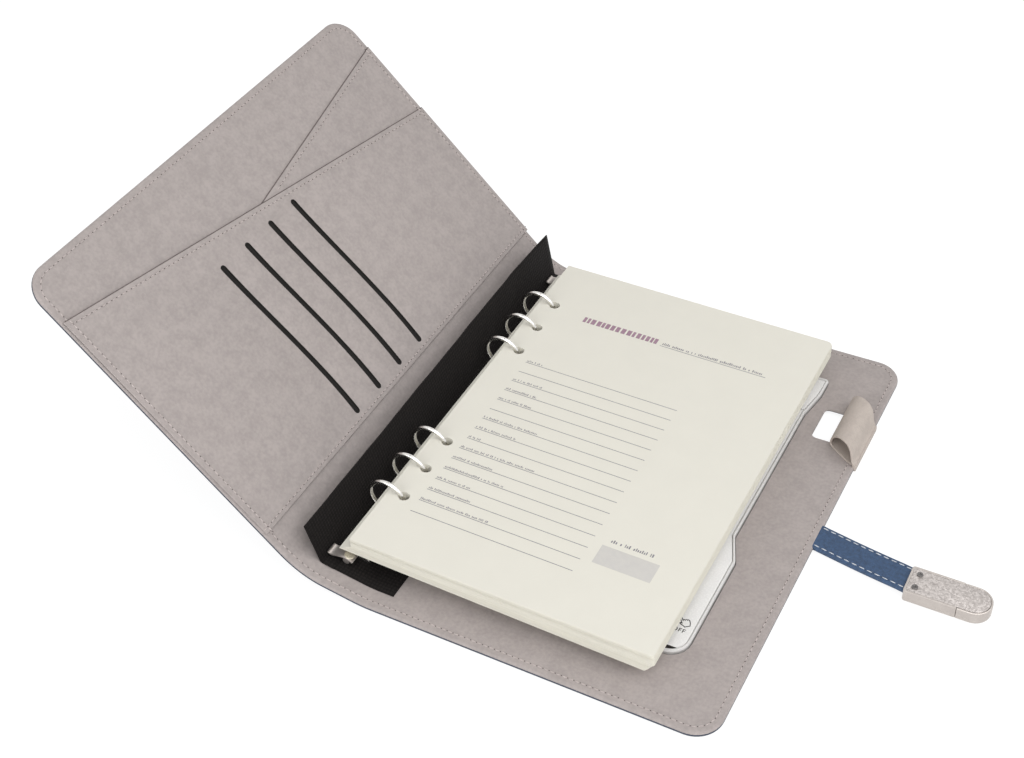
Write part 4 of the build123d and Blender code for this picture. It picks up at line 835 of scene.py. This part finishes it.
class NOTEBOOK_OT_stitching(bpy.types.Operator):
    """Sew the cover's edge and the pockets"""

    bl_idname = "notebook.stitching"
    bl_label = "Stitching"

    def execute(self, context):
        settings = context.scene.notebook
        pitch, radius = settings.stitch_pitch, settings.thread_radius
        inset = settings.stitch_inset / MM
        for label, low, high, bodies, bend in (
            ("back", SPINE_SPLIT, BACK_EDGE_S, ("back_cover", "spine"), BACK_BEND),
            ("spine_to_front", POCKET_START_S, SPINE_SPLIT, ("spine", "front_cover"), FRONT_BEND),
        ):
            made = sew("edge_stitches_" + label, edge_rows(low, high, inset), "lining_thread", pitch, radius)
            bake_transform(made)
        rows = edge_rows(FRONT_EDGE_S, POCKET_START_S, inset)
        made = sew("edge_stitches_front", rows, "lining_thread", pitch, radius)
        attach(made, "front_cover")
        rows = []
        seam = POCKET_START_S - FOLD_SEAM_INSET
        for ends, level in (
            ([(pocket_edge(LOWER_LEAN, y) + POCKET_SEAM, y) for y in (-SLANT_SEAM_END, SLANT_SEAM_END)],
             LOWER_TOP),
            ([(seam, -FOLD_SEAM_END), (seam, FOLD_SEAM_END)], LOWER_TOP),
            ([(pocket_edge(UPPER_LEAN, y) + POCKET_SEAM, y) for y in (UPPER_SEAM_START, SLANT_SEAM_END)],
             UPPER_TOP),
        ):
            rows.append([on_cover(s, y, level + THREAD_RISE) for s, y in dense(ends, 2.0)])
        made = sew("pocket_stitches", rows, "lining_thread", pitch, radius)
        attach(made, "front_cover")
        return {"FINISHED"}


# The pen loop's leather: its sides, its lowest level, its lower end, its width and how far it leans
LOOP_LEFT, LOOP_RIGHT, LOOP_BASE = 65.2, 79.55, 3.5
LOOP_LOW_Y, LOOP_WIDTH, LOOP_LEAN = 45.2, 30.5, 9.5

# The strip at the cover's edge that the loop's free end is sewn to: its outline and its edge
LOOP_STRIP = ((79.3, 45.4), (81.15, 45.4), (81.15, 75.5), (79.3, 75.5))
LOOP_STRIP_EDGE = ((0.0, 0.9), (0.0, 3.5), (0.3, 3.85))


def loop_section():
    """Give the line of the pen loop's leather as X and Z, from its sewn foot round to its free end."""
    run = [(14.3, 0.0), (7.0, -0.05), (2.5, 0.0), (0.75, 0.6), (0.5, 2.6), (1.6, 6.2), (4.4, 9.1),
           (8.2, 10.1), (11.4, 9.5), (12.9, 6.6), (13.5, 3.4), (14.2, 1.3), (15.4, 0.55)]
    return [(LOOP_LEFT + x, LOOP_BASE + z) for x, z in run]


class NOTEBOOK_OT_pen_loop(bpy.types.Operator):
    """Make the leather pen loop beside the window"""

    bl_idname = "notebook.pen_loop"
    bl_label = "Pen loop"

    def execute(self, context):
        leather = [MATERIALS["pale_loop_leather"]]
        bm = bmesh.new()
        rows = []
        steps = 10
        for x, z in loop_section():
            low = LOOP_LOW_Y + LOOP_LEAN * (LOOP_RIGHT - x) / (LOOP_RIGHT - LOOP_LEFT)
            places = [Vector((x, low + LOOP_WIDTH * j / steps, z)) * MM for j in range(steps + 1)]
            rows.append([bm.verts.new(place) for place in places])
        for first, second in zip(rows, rows[1:]):
            for j in range(steps):
                bm.faces.new((first[j], first[j + 1], second[j + 1], second[j]))
        made = new_object("pen_loop_leather", bm, leather, smooth_angle=80)
        add_modifier(made, "rounding", "SUBSURF", levels=2, render_levels=2)
        add_modifier(made, "leather", "SOLIDIFY", thickness=0.9 * MM, offset=0.0)
        add_modifier(made, "edges", "BEVEL", width=0.2 * MM, segments=2, limit_method="ANGLE",
                     angle_limit=math.radians(50))
        bake(made)
        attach(made, "back_cover")
        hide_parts("pen_loop")
        strip = new_object("pen_loop_edge_strip", plate(LOOP_STRIP, LOOP_STRIP_EDGE), leather, "back_cover")
        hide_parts("pen_loop")
        return {"FINISHED"}


# The black cloth: half widths of the sheet and of its flap, the sheet's level and thickness,
# and the flap's height and slope
CLOTH_HALF, FLAP_HALF, CLOTH_LEVEL, CLOTH_THICKNESS = 111.5, 111.8, INNER + 0.32, 0.55
FLAP_HEIGHT, FLAP_TURN = 22.0, math.radians(103.5)

# The flap's two ends: from what share of its half width they bend over, how far each does, and how
# far one end stands up and the other hangs
END_SHARE, TOP_LEAN, BOTTOM_LEAN, END_LIFT = 0.7, 1.6, 0.35, 2.0


def flap_shift(t, y, wave):
    """Give how far the flap strays from flat, at a share of its climb and a place along the spine."""
    end = y / CLOTH_HALF
    rise = max(0.0, t - 0.2) / 0.8
    bend = TOP_LEAN * max(0.0, end - END_SHARE) - BOTTOM_LEAN * max(0.0, -end - END_SHARE)
    ripple = wave * rise * (math.sin(y * 0.11 + 0.6) + 0.5 * math.sin(y * 0.27 + 2.0))
    return Vector((bend / (1 - END_SHARE) * rise + ripple, 0, END_LIFT * end * rise + 0.2 * ripple))


def cloth_mesh(name, section, half, columns, wave=None):
    """Make a cloth strip that follows a section, with its own UV map in metres; a flap waves, too."""
    bm = bmesh.new()
    layer = bm.loops.layers.uv.new("cloth")
    lengths = [0.0]
    for a, b in zip(section, section[1:]):
        lengths.append(lengths[-1] + math.hypot(b[0] - a[0], b[1] - a[1]))
    grid = []
    where = {}
    for k, (x, z) in enumerate(section):
        row = []
        for j in range(columns + 1):
            y = -half + 2 * half * j / columns
            place = Vector((x, y, z))
            if wave is not None:
                place += flap_shift(lengths[k] / lengths[-1], y, wave)
            vert = bm.verts.new(place * MM)
            where[vert] = (lengths[k] * MM, y * MM)
            row.append(vert)
        grid.append(row)
    for first, second in zip(grid, grid[1:]):
        for j in range(columns):
            face = bm.faces.new((first[j], first[j + 1], second[j + 1], second[j]))
            face.smooth = True
            for loop in face.loops:
                loop[layer].uv = where[loop.vert]
    made = link_object(name, to_mesh(name, bm), [MATERIALS["dotted_cloth"]])
    add_modifier(made, "cloth", "SOLIDIFY", thickness=CLOTH_THICKNESS * MM, offset=0.0)
    bake(made)
    return made


class NOTEBOOK_OT_ring_cloth(bpy.types.Operator):
    """Make the black cloth under the rings and its free flap"""

    bl_idname = "notebook.ring_cloth"
    bl_label = "Ring cloth"

    def execute(self, context):
        def section(places, level):
            return [(p.x / MM, p.z / MM) for p in (on_cover(s, 0, level) for s in places)]

        line = section([10.6 - 0.75 * k for k in range(47)], CLOTH_LEVEL)
        made = cloth_mesh("cloth_under_rings", line, CLOTH_HALF, 40)
        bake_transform(made)
        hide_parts("ring_cloth_base", "ring_cloth_margin")
        steps = 14
        line = section((-20.0, -22.0, -23.6), CLOTH_LEVEL + 0.3) + [(FLAP_X + 0.35, FLAP_Z - 0.9)]
        for k in range(steps + 1):
            climb = FLAP_HEIGHT * k / steps
            line.append((FLAP_X + climb * math.cos(FLAP_TURN), FLAP_Z + climb * math.sin(FLAP_TURN)))
        made = cloth_mesh("cloth_flap_sheet", line, FLAP_HALF, 90, context.scene.notebook.ripple / MM)
        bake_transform(made)
        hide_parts("cloth_flap")
        return {"FINISHED"}


# Depth of the stack at the rings and how much it grows to the fore edge; how far the lowest sheets
# are drawn back, and from what share of the depth on
STACK_DEPTH, STACK_SPREAD = 9.0, 2.1
DRAWN_BACK, DRAWN_FROM = 3.6, 0.55

# How far a sheet strays along and across the stack, the radii of its lower and upper fore corner,
# how far its holes lie from the ring side, and how much more than its fore edge its ring side is drawn back
STRAY, ASIDE, LOWER_ROUND, UPPER_ROUND = 0.16, 0.22, 1.2, 3.0
HOLE_MARGIN, RING_SIDE_LAG = 8.0, 1.9

# Shares of its room in the stack that each sheet in turn fills
SHEET_SHARES = (0.95, 0.90, 0.90)


def stack_level(share, distance):
    """Give the height at a share of the stack's depth and a distance from the ring side."""
    depth = STACK_DEPTH + STACK_SPREAD * distance / PAGE_W
    return STACK_TOP - TOP_FALL * distance - share * depth


class NOTEBOOK_OT_pages(bpy.types.Operator):
    """Make the stack of punched sheets"""

    bl_idname = "notebook.pages"
    bl_label = "Pages"

    def execute(self, context):
        count = context.scene.notebook.sheet_count
        chance = random.Random(4)
        whole = bmesh.new()
        for k in range(count):
            upper = k / count
            lower = (k + SHEET_SHARES[k % 3]) / count
            lag = -DRAWN_BACK * max(0.0, upper - DRAWN_FROM) / (1 - DRAWN_FROM)
            # the first sheet, with the print, lies straight
            stray, aside = [chance.uniform(-most, most) for most in (STRAY, ASIDE)] if k else (0.0, 0.0)
            left, right, half = RING_SIDE_LAG * lag + stray, PAGE_W + lag + stray, PAGE_H / 2
            outline = arc(right - LOWER_ROUND, LOWER_ROUND - half, LOWER_ROUND, -90, 0, 4)
            outline += arc(right - UPPER_ROUND, half - UPPER_ROUND, UPPER_ROUND, 0, 90, 5)
            outline = [(x, y + aside) for x, y in outline + [(left, half), (left, -half)]]
            # the holes lie where the rings pass this sheet's level
            rise = stack_level((upper + lower) / 2, HOLE_MARGIN) - RING_Z
            near, far = (math.sqrt((HOLE_PATH + side * HOLE_RADIUS) ** 2 - rise ** 2) for side in (-1, 1))
            middle, half_length = (near + far) / 2 + RING_X - STACK_X, (far - near) / 2
            holes = [[(middle + half_length * x, y + HOLE_RADIUS * h) for x, h in arc(0, 0, 1.0, 0, -345, 23)]
                     for y in RING_Y]

            def place(x, y, h, low=lower, high=upper):
                return Vector((STACK_X + x, y, stack_level(low + (high - low) * h, x))) * MM

            bm = plate(outline, [(0.0, 0.0), (0.0, 1.0)], holes=holes, place=place)
            for face in bm.faces:
                face.material_index = 0 if abs(face.normal.z) > 0.7 else 1
            mesh = to_mesh("sheet", bm)
            whole.from_mesh(mesh)
            bpy.data.meshes.remove(mesh)
        papers = (MATERIALS["offset_paper"], MATERIALS["cut_paper_edge"])
        made = link_object("page_sheets", to_mesh("page_stack", whole), papers, "page_stack")
        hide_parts("title_sheet", *["page_block_" + str(k) for k in range(1, 6)])
        return {"FINISHED"}


def flat_marks(name, shapes, finish, body, place):
    """Make thin flat shapes from outlines in millimetres, in a material given by its name."""
    bm = bmesh.new()
    for points in shapes:
        verts = [bm.verts.new(place(x, y)) for x, y in points]
        edges = [bm.edges.new((verts[k], verts[(k + 1) % len(verts)])) for k in range(len(verts))]
        bmesh.ops.triangle_fill(bm, edges=edges, use_beauty=True, use_dissolve=False)
    for face in bm.faces:
        face.normal_update()
        if face.normal.z < 0:
            face.normal_flip()
    link_object(name, to_mesh(name, bm), [MATERIALS[finish]], body)


def bar(x0, x1, y, width):
    """Give a thin bar's outline."""
    return [(x0, y - width / 2), (x1, y - width / 2), (x1, y + width / 2), (x0, y + width / 2)]


# Distance of the ruled lines, and how far the small print reaches along each, in millimetres
RULE_PITCH = 7.2
LABEL_LENGTHS = (8.0, 0.0, 15.0, 16.0, 17.0, 0.0, 28.0, 20.0, 6.0, 37.0, 20.0, 29.0, 17.0, 21.0, 33.0)


def dashes(chance, start, length, y, height, width, rises=(0.15, 0.2, 0.5), gaps=(0.35, 0.4, 0.45, 1.4)):
    """Give a row of short upright marks in place of a line of print."""
    marks = []
    x = start
    while x < start + length:
        part = width * chance.uniform(0.35, 0.6)
        low = y - height / 2
        high = y + height * chance.choice(rises)
        marks.append([(x, low), (x + part, low), (x + part, high), (x, high)])
        x += part + width * chance.choice(gaps)
    return marks


class NOTEBOOK_OT_print(bpy.types.Operator):
    """Print the first page's ruled lines, with plain dashes where words would be"""

    bl_idname = "notebook.print"
    bl_label = "Page print"

    def execute(self, context):
        def place(x, y):
            return Vector((STACK_X + x, y, stack_level(0, x) + INK_RISE)) * MM

        lines = [bar(14.9, 93.5, 28.9 - RULE_PITCH * k, 0.3) for k in range(len(LABEL_LENGTHS) + 1)]
        lines.append(bar(67.7, 121.7, 67.6, 0.3))
        flat_marks("ruled_lines", lines, "grey_ink", "page_stack", place)
        chance = random.Random(9)
        marks = dashes(chance, 68.5, 52.0, 69.4, 1.7, 1.0)
        for k, length in enumerate(LABEL_LENGTHS):
            marks += dashes(chance, 15.2, length, 30.2 - RULE_PITCH * k, 1.2, 0.75)
        marks += dashes(chance, 101.0, 19.0, -57.0, 1.8, 1.1)
        flat_marks("label_dashes", marks, "grey_ink", "page_stack", place)
        heading = dashes(chance, 26.0, 39.0, 69.6, 3.8, 3.6, (0.5,), (0.16, 0.2, 0.26))
        flat_marks("heading_dashes", heading, "mauve_ink", "page_stack", place)
        flat_marks("signature_box", [bar(98.4, 125.0, -65.85, 10.7)], "box_ink", "page_stack", place)
        return {"FINISHED"}


# Materials of the frame's inner parts, which keep their shape
RIGID = {
    "grey_board": ("back_cover_board", "spine_board", "front_cover_board"),
    # the black felt behind the slots is painted shade seen through them
    "slot_shade_felt": ("card_slot_backing",),
    "zinc_steel": ("front_magnet_plate", "charging_ports", "power_bank_screws", "rail_left", "rail_right",
                   "buckle_magnet", "usb_plug_shell"),
    "matt_abs": ("power_bank_tray",),
    "foil_pouch": ("battery_cells",),
    "solder_mask": ("circuit_board",),
    "black_abs": ("port_well",),
    "copper_foil": ("touch_sensor_pad",),
    "clear_acrylic": ("charge_indicators",),
    "plug_nylon": ("usb_plug_tongue",),
}


class NOTEBOOK_OT_mechanism(bpy.types.Operator):
    """Round the edges of the ring mechanism and give the frame's inner parts their materials"""

    bl_idname = "notebook.mechanism"
    bl_label = "Ring mechanism"

    def execute(self, context):
        hard_copy("mechanism_plate", "ring_cover_plate", "bright_chrome", 0.15, "spine")
        hard_copy("plate_rivets", "mechanism_rivets", "bright_chrome", 0.1, "spine")
        hard_copy("rings_left", "half_rings_left", "bright_chrome", 0.0, "ring_left")
        hard_copy("rings_right", "half_rings_right", "bright_chrome", 0.0, "ring_right")
        for lever in ("lever_bottom", "lever_top"):
            end = lever[len("lever"):]
            hard_copy("ring_lever" + end, lever, "satin_nickel", 0.2, lever)
            hard_copy("ring_lever_rivet" + end, lever + "_rivet", "cream_enamel", 0.0, lever)
        for finish, nodes in RIGID.items():
            for node in nodes:
                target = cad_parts[node]
                target.data.materials.clear()
                target.data.materials.append(MATERIALS[finish])
        return {"FINISHED"}


# Height of the power bank's panels, width of its bezel, the gaps round the panels and between them,
# and the place along Y of the latter
PANEL_TOP, BEZEL_WIDTH = 4.95, 1.1
PANEL_GAP, END_GAP, END_PANEL_Y = 0.25, 0.36, 70.5

# Edges of bezel and panels, from below to above
BEZEL_EDGE = ((0.0, 4.0), (0.0, 4.92), (0.1, 5.12), (0.3, 5.2))
PANEL_EDGE = ((0.0, 4.0), (0.0, 4.75), (0.08, 4.89), (0.25, PANEL_TOP))

# Opening for the charging ports, clockwise; place, step and radius of the four lights' holes
PORT_OPENING = ((-16.35, -86.95), (-16.35, -81.45), (43.85, -81.45), (43.85, -86.95))
LIGHT_X, LIGHT_Y, LIGHT_STEP, LIGHT_RADIUS = 22.0, -76.0, 5.0, 0.8

# The touch key's marks: place, turn and scale of the hand, place of the word
HAND_X, HAND_Y, HAND_TURN, HAND_SCALE = 47.8, -71.9, math.radians(38.0), 0.82
WORD_X, WORD_Y = 44.6, -77.6

# Outline of a pointing hand and of the letter F, in millimetres
HAND = ((1.6, -3.0), (2.3, -1.2), (2.4, 0.6), (1.9, 1.1), (1.4, 0.9), (1.2, 1.4), (0.7, 1.5), (0.3, 1.2),
        (0.0, 1.7), (-0.5, 1.7), (-0.8, 1.4), (-0.85, 3.1), (-1.3, 3.5), (-1.75, 3.1), (-1.8, -0.2),
        (-2.3, 0.3), (-2.8, 0.1), (-2.6, -0.6), (-1.6, -2.0), (-1.2, -3.0))
LETTER_F = ((0.0, 0.0), (0.4, 0.0), (0.4, 0.8), (1.1, 0.8), (1.1, 1.15), (0.4, 1.15), (0.4, 1.65),
            (1.3, 1.65), (1.3, 2.0), (0.0, 2.0))


def outline_strokes(points, width):
    """Draw a closed anticlockwise line with a pen of a given width, as flat four-sided pieces."""
    outer, inner = offset_outline(points, -width / 2), offset_outline(points, width / 2)
    count = len(points)
    return [[outer[k], outer[(k + 1) % count], inner[(k + 1) % count], inner[k]] for k in range(count)]


class NOTEBOOK_OT_power_bank(bpy.types.Operator):
    """Round the power bank's bezel and panels and mark its touch key"""

    bl_idname = "notebook.power_bank"
    bl_label = "Power bank"

    def execute(self, context):
        inner = bank_outline(-BEZEL_WIDTH - PANEL_GAP)
        lights = [arc(LIGHT_X + LIGHT_STEP * k, LIGHT_Y, LIGHT_RADIUS, 0, -345, 23) for k in range(4)]
        panel = clip_band(inner, -100.0, END_PANEL_Y - END_GAP / 2)
        end_panel = clip_band(inner, END_PANEL_Y + END_GAP / 2, 100.0)
        for name, finish, outline, edge, holes, share in (
            ("bank_bezel", "moulded_bezel_abs", bank_outline(), BEZEL_EDGE,
             [bank_outline(-BEZEL_WIDTH)[::-1]], 1.0),
            ("bank_panel", "polished_abs", panel, PANEL_EDGE, [PORT_OPENING, *lights], 0.3),
            ("bank_end_panel", "polished_abs", end_panel, PANEL_EDGE, [], 1.0),
        ):
            bm = plate(outline, edge, holes=holes, hole_share=share)
            made = new_object(name, bm, [MATERIALS[finish]], "back_cover")
            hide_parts("power_" + name)
        cos, sin = HAND_SCALE * math.cos(HAND_TURN), HAND_SCALE * math.sin(HAND_TURN)
        hand = [(HAND_X + x * cos - y * sin, HAND_Y + x * sin + y * cos) for x, y in HAND]
        letters = [[(WORD_X + step + x, WORD_Y + y) for x, y in LETTER_F] for step in (2.2, 3.9)]
        ring = [(WORD_X + 0.75 * (1 + math.cos(a)), WORD_Y + 1 + math.sin(a))
                for a in (k * math.pi / 8 for k in range(16))]
        # a flat black mark at the end of the ports' recess, between the panel's edge and its round corner:
        # the black well and painted shade of the recess
        recess = [(30.0, -87.75)] + arc(44.85, -80.0, 7.75, -90, -48, 6) + [(30.0, -86.0)]

        def place(x, y):
            return Vector((x, y, PANEL_TOP + INK_RISE)) * MM

        flat_marks("touch_key_hand", outline_strokes(hand, 0.42), "black_ink", "back_cover", place)
        flat_marks("touch_key_off", outline_strokes(ring, 0.4) + letters, "black_ink", "back_cover", place)
        flat_marks("port_recess_well_and_shade", [recess], "black_abs", "back_cover", place)
        return {"FINISHED"}


# The strap: where it starts, is split and ends along X, its half width and how far its seams lie from
# its middle; then its middle's height at the start, how far it climbs and sags, and where it sags
STRAP_START, STRAP_CUT, STRAP_END, STRAP_HALF, STRAP_SEAM = 78.6, 100.0, 123.3, 7.1, 5.5
STRAP_Z, STRAP_RISE, STRAP_SAG, SAG_START, SAG_LENGTH = 1.8, 2.0, 0.35, 84.0, 38.0
STRAP_EDGE = ((0.35, -0.95), (0.05, -0.6), (0.0, 0.0), (0.05, 0.6), (0.35, 0.9), (0.9, 1.0))

# The strap's stitches, in metres: pitch, thread radius and hole radius
STRAP_PITCH, STRAP_THREAD, STRAP_HOLE = 3.6 * MM, 0.26 * MM, 0.16 * MM


def strap_place(x, across, h):
    """Place a point of the strap: x along it, across its width and h above its middle."""
    y = STRAP_Y0 + STRAP_TURN * (x - BACK_EDGE_S - FOLD_X)
    z = STRAP_Z + STRAP_RISE * min(max((x - STRAP_FOLD_ONE) / (STRAP_FOLD_TWO - STRAP_FOLD_ONE), 0), 1)
    sag = -STRAP_SAG * math.sin(math.pi * min(max((x - SAG_START) / SAG_LENGTH, 0), 1))
    return Vector((x - 0.2 * across * STRAP_TURN, y + across, z + sag + h)) * MM


class NOTEBOOK_OT_strap(bpy.types.Operator):
    """Make the leather strap with its two rows of white stitching"""

    bl_idname = "notebook.strap"
    bl_label = "Strap"

    def execute(self, context):
        for label, low, high, bodies, folds, nodes, first in (
            ("root", STRAP_START, STRAP_CUT, ("back_cover", "strap_lower"), (81.6, 85.4),
             ("strap_root_tab", "strap_lower"), 81.6),
            ("end", STRAP_CUT, STRAP_END, ("strap_lower", "buckle"), (116.6, 120.8), ("strap_upper",), 103.2),
        ):
            outline = [(low, -STRAP_HALF), (high, -STRAP_HALF), (high, STRAP_HALF), (low, STRAP_HALF)]
            cuts = [low + k * 0.8 for k in range(1, int((high - low) / 0.8))]
            bm = plate(outline, STRAP_EDGE, cuts=cuts, place=strap_place, keep=STRAP_CUT)
            made = new_object("strap_" + label, bm, [MATERIALS["dyed_strap_leather"]])
            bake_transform(made)
            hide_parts(*nodes)
            rows = [[strap_place(first + 0.5 * k, side * STRAP_SEAM, 1.0 + THREAD_RISE) for k in range(37)]
                    for side in (-1, 1)]
            made = sew("strap_stitches_" + label, rows, "white_thread", STRAP_PITCH, STRAP_THREAD, 0.37,
                       STRAP_HOLE)
            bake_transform(made)
        return {"FINISHED"}


class NOTEBOOK_OT_buckle(bpy.types.Operator):
    """Round the buckle and its drive and texture the plate on top"""

    bl_idname = "notebook.buckle"
    bl_label = "Buckle and drive"

    def execute(self, context):
        hard_copy("buckle_body", "buckle_housing", "satin_nickel", 0.45, "buckle", 3)
        hard_copy("drive_body", "usb_drive_body", "satin_nickel", 0.45, "usb_drive", 3)
        hard_copy("buckle_plate", "buckle_top_plate", "glitter_plate", 0.12, "buckle")
        hard_copy("buckle_screw_heads", "buckle_screws", "oiled_screw_steel", 0.08, "buckle")
        return {"FINISHED"}


# Half the table's width and how far it lies under the object, in metres
TABLE_HALF, TABLE_DROP = 12.0, 0.0004

# Strength of the soft light from all round, how much of the table glows, the table's grey and its glow
SOFT_LIGHT, GLOW_SHARE, TABLE_GREY, GLOW = 0.43, 0.72, (0.82, 0.82, 0.82, 1), 1.23

# Each lamp's name, place, size and power; all look at the middle of the object
LAMPS = (
    ("key", (0.75, -0.15, 1.15), 1.5, 11.5),
    ("side", (0.9, -0.7, 0.8), 0.8, 1.4),
    ("front", (-0.15, -1.1, 0.5), 0.9, 5.6),
)

# The camera that was fitted to the photo: place in millimetres, azimuth, elevation and roll in degrees,
# and its lens for a sensor 36 mm wide
CAMERA_PLACE, CAMERA_ANGLES, CAMERA_LENS = (203.75, -462.4, 512.8), (30.63, 41.48, -3.89), 55.01


class NOTEBOOK_OT_stage(bpy.types.Operator):
    """Make the floor, the lights and the camera"""

    bl_idname = "notebook.stage"
    bl_label = "Stage"

    def execute(self, context):
        scene = context.scene
        bm = bmesh.new()
        corners = ((-1, -1), (1, -1), (1, 1), (-1, 1))
        bm.faces.new([bm.verts.new((x * TABLE_HALF, y * TABLE_HALF, -TABLE_DROP)) for x, y in corners])
        new_object("table", bm, [white_floor()])
        scene.world = bpy.data.worlds.new("studio")
        tree = empty_tree(scene.world)
        seen = straight_rays(tree)
        soft = add_node(tree, "ShaderNodeBackground", {"Color": (1, 1, 1, 1), "Strength": SOFT_LIGHT})
        plain = add_node(tree, "ShaderNodeBackground", {"Color": (1, 1, 1, 1), "Strength": 1.0})
        mixed = add_node(tree, "ShaderNodeMixShader", {
            0: seen, 1: soft.outputs["Background"], 2: plain.outputs["Background"]})
        add_node(tree, "ShaderNodeOutputWorld", {"Surface": mixed.outputs["Shader"]})
        for name, place, size, power in LAMPS:
            lamp = bpy.data.lights.new(name, "AREA")
            lamp.size = size
            lamp.energy = power
            holder = link_object(name, lamp)
            holder.location = place
            holder.rotation_euler = (-Vector(place)).to_track_quat("-Z", "Y").to_euler()
        eye = bpy.data.cameras.new("photo_camera")
        eye.lens = CAMERA_LENS
        eye.sensor_width = 36.0
        eye.sensor_fit = "HORIZONTAL"
        eye.clip_end = 20.0
        azimuth, elevation, roll = (math.radians(a) for a in CAMERA_ANGLES)
        back = Vector((math.sin(azimuth) * math.cos(elevation), -math.cos(azimuth) * math.cos(elevation),
                       math.sin(elevation)))
        right = Vector((math.cos(azimuth), math.sin(azimuth), 0))
        up = back.cross(right)
        turned_right = right * math.cos(roll) + up * math.sin(roll)
        turned_up = up * math.cos(roll) - right * math.sin(roll)
        camera = link_object("photo_camera", eye)
        axes = Matrix((turned_right, turned_up, back)).transposed().to_4x4()
        camera.matrix_world = Matrix.Translation(Vector(CAMERA_PLACE) * MM) @ axes
        scene.camera = camera
        scene.view_settings.view_transform = "Standard"
        return {"FINISHED"}


def white_floor():
    """Make the table: white to the eye, with a soft shadow kept from the object."""
    material, tree = new_material("white_table")
    share = add_node(tree, "ShaderNodeMath", {0: straight_rays(tree), 1: GLOW_SHARE}, operation="MULTIPLY")
    matt = add_node(tree, "ShaderNodeBsdfDiffuse", {"Color": TABLE_GREY})
    glow = add_node(tree, "ShaderNodeEmission", {"Color": (1, 1, 1, 1), "Strength": GLOW})
    mixed = add_node(tree, "ShaderNodeMixShader", {
        0: share.outputs["Value"], 1: matt.outputs["BSDF"], 2: glow.outputs["Emission"]})
    add_node(tree, "ShaderNodeOutputMaterial", {"Surface": mixed.outputs["Shader"]})
    return material


OPERATORS = (
    NOTEBOOK_OT_cover, NOTEBOOK_OT_pockets, NOTEBOOK_OT_stitching, NOTEBOOK_OT_pen_loop,
    NOTEBOOK_OT_ring_cloth, NOTEBOOK_OT_pages, NOTEBOOK_OT_print, NOTEBOOK_OT_mechanism,
    NOTEBOOK_OT_power_bank, NOTEBOOK_OT_strap, NOTEBOOK_OT_buckle, NOTEBOOK_OT_stage,
)


class NOTEBOOK_PT_panel(bpy.types.Panel):
    """Lists the steps that dress the notebook"""

    bl_label = "Notebook"
    bl_idname = "NOTEBOOK_PT_panel"
    bl_space_type = "VIEW_3D"
    bl_region_type = "UI"
    bl_category = "Notebook"

    def draw(self, context):
        settings = context.scene.notebook
        for name in settings.bl_rna.properties.keys():
            if name not in ("rna_type", "name"):
                self.layout.prop(settings, name)
        for item in OPERATORS:
            self.layout.operator(item.bl_idname)


def register():
    """Register the settings, the operators and the panel."""
    for item in (NotebookSettings, *OPERATORS, NOTEBOOK_PT_panel):
        bpy.utils.register_class(item)
    bpy.types.Scene.notebook = PointerProperty(type=NotebookSettings)


def unregister():
    """Take the settings, the operators and the panel out again."""
    del bpy.types.Scene.notebook
    for item in reversed((NotebookSettings, *OPERATORS, NOTEBOOK_PT_panel)):
        bpy.utils.unregister_class(item)


MATERIALS = {}


def main():
    """Dress the frame step by step."""
    register()
    MATERIALS.update(make_materials(bpy.context.scene.notebook))
    for item in OPERATORS:
        group, name = item.bl_idname.split(".")
        getattr(getattr(bpy.ops, group), name)()


if __name__ == "__main__":
    main()
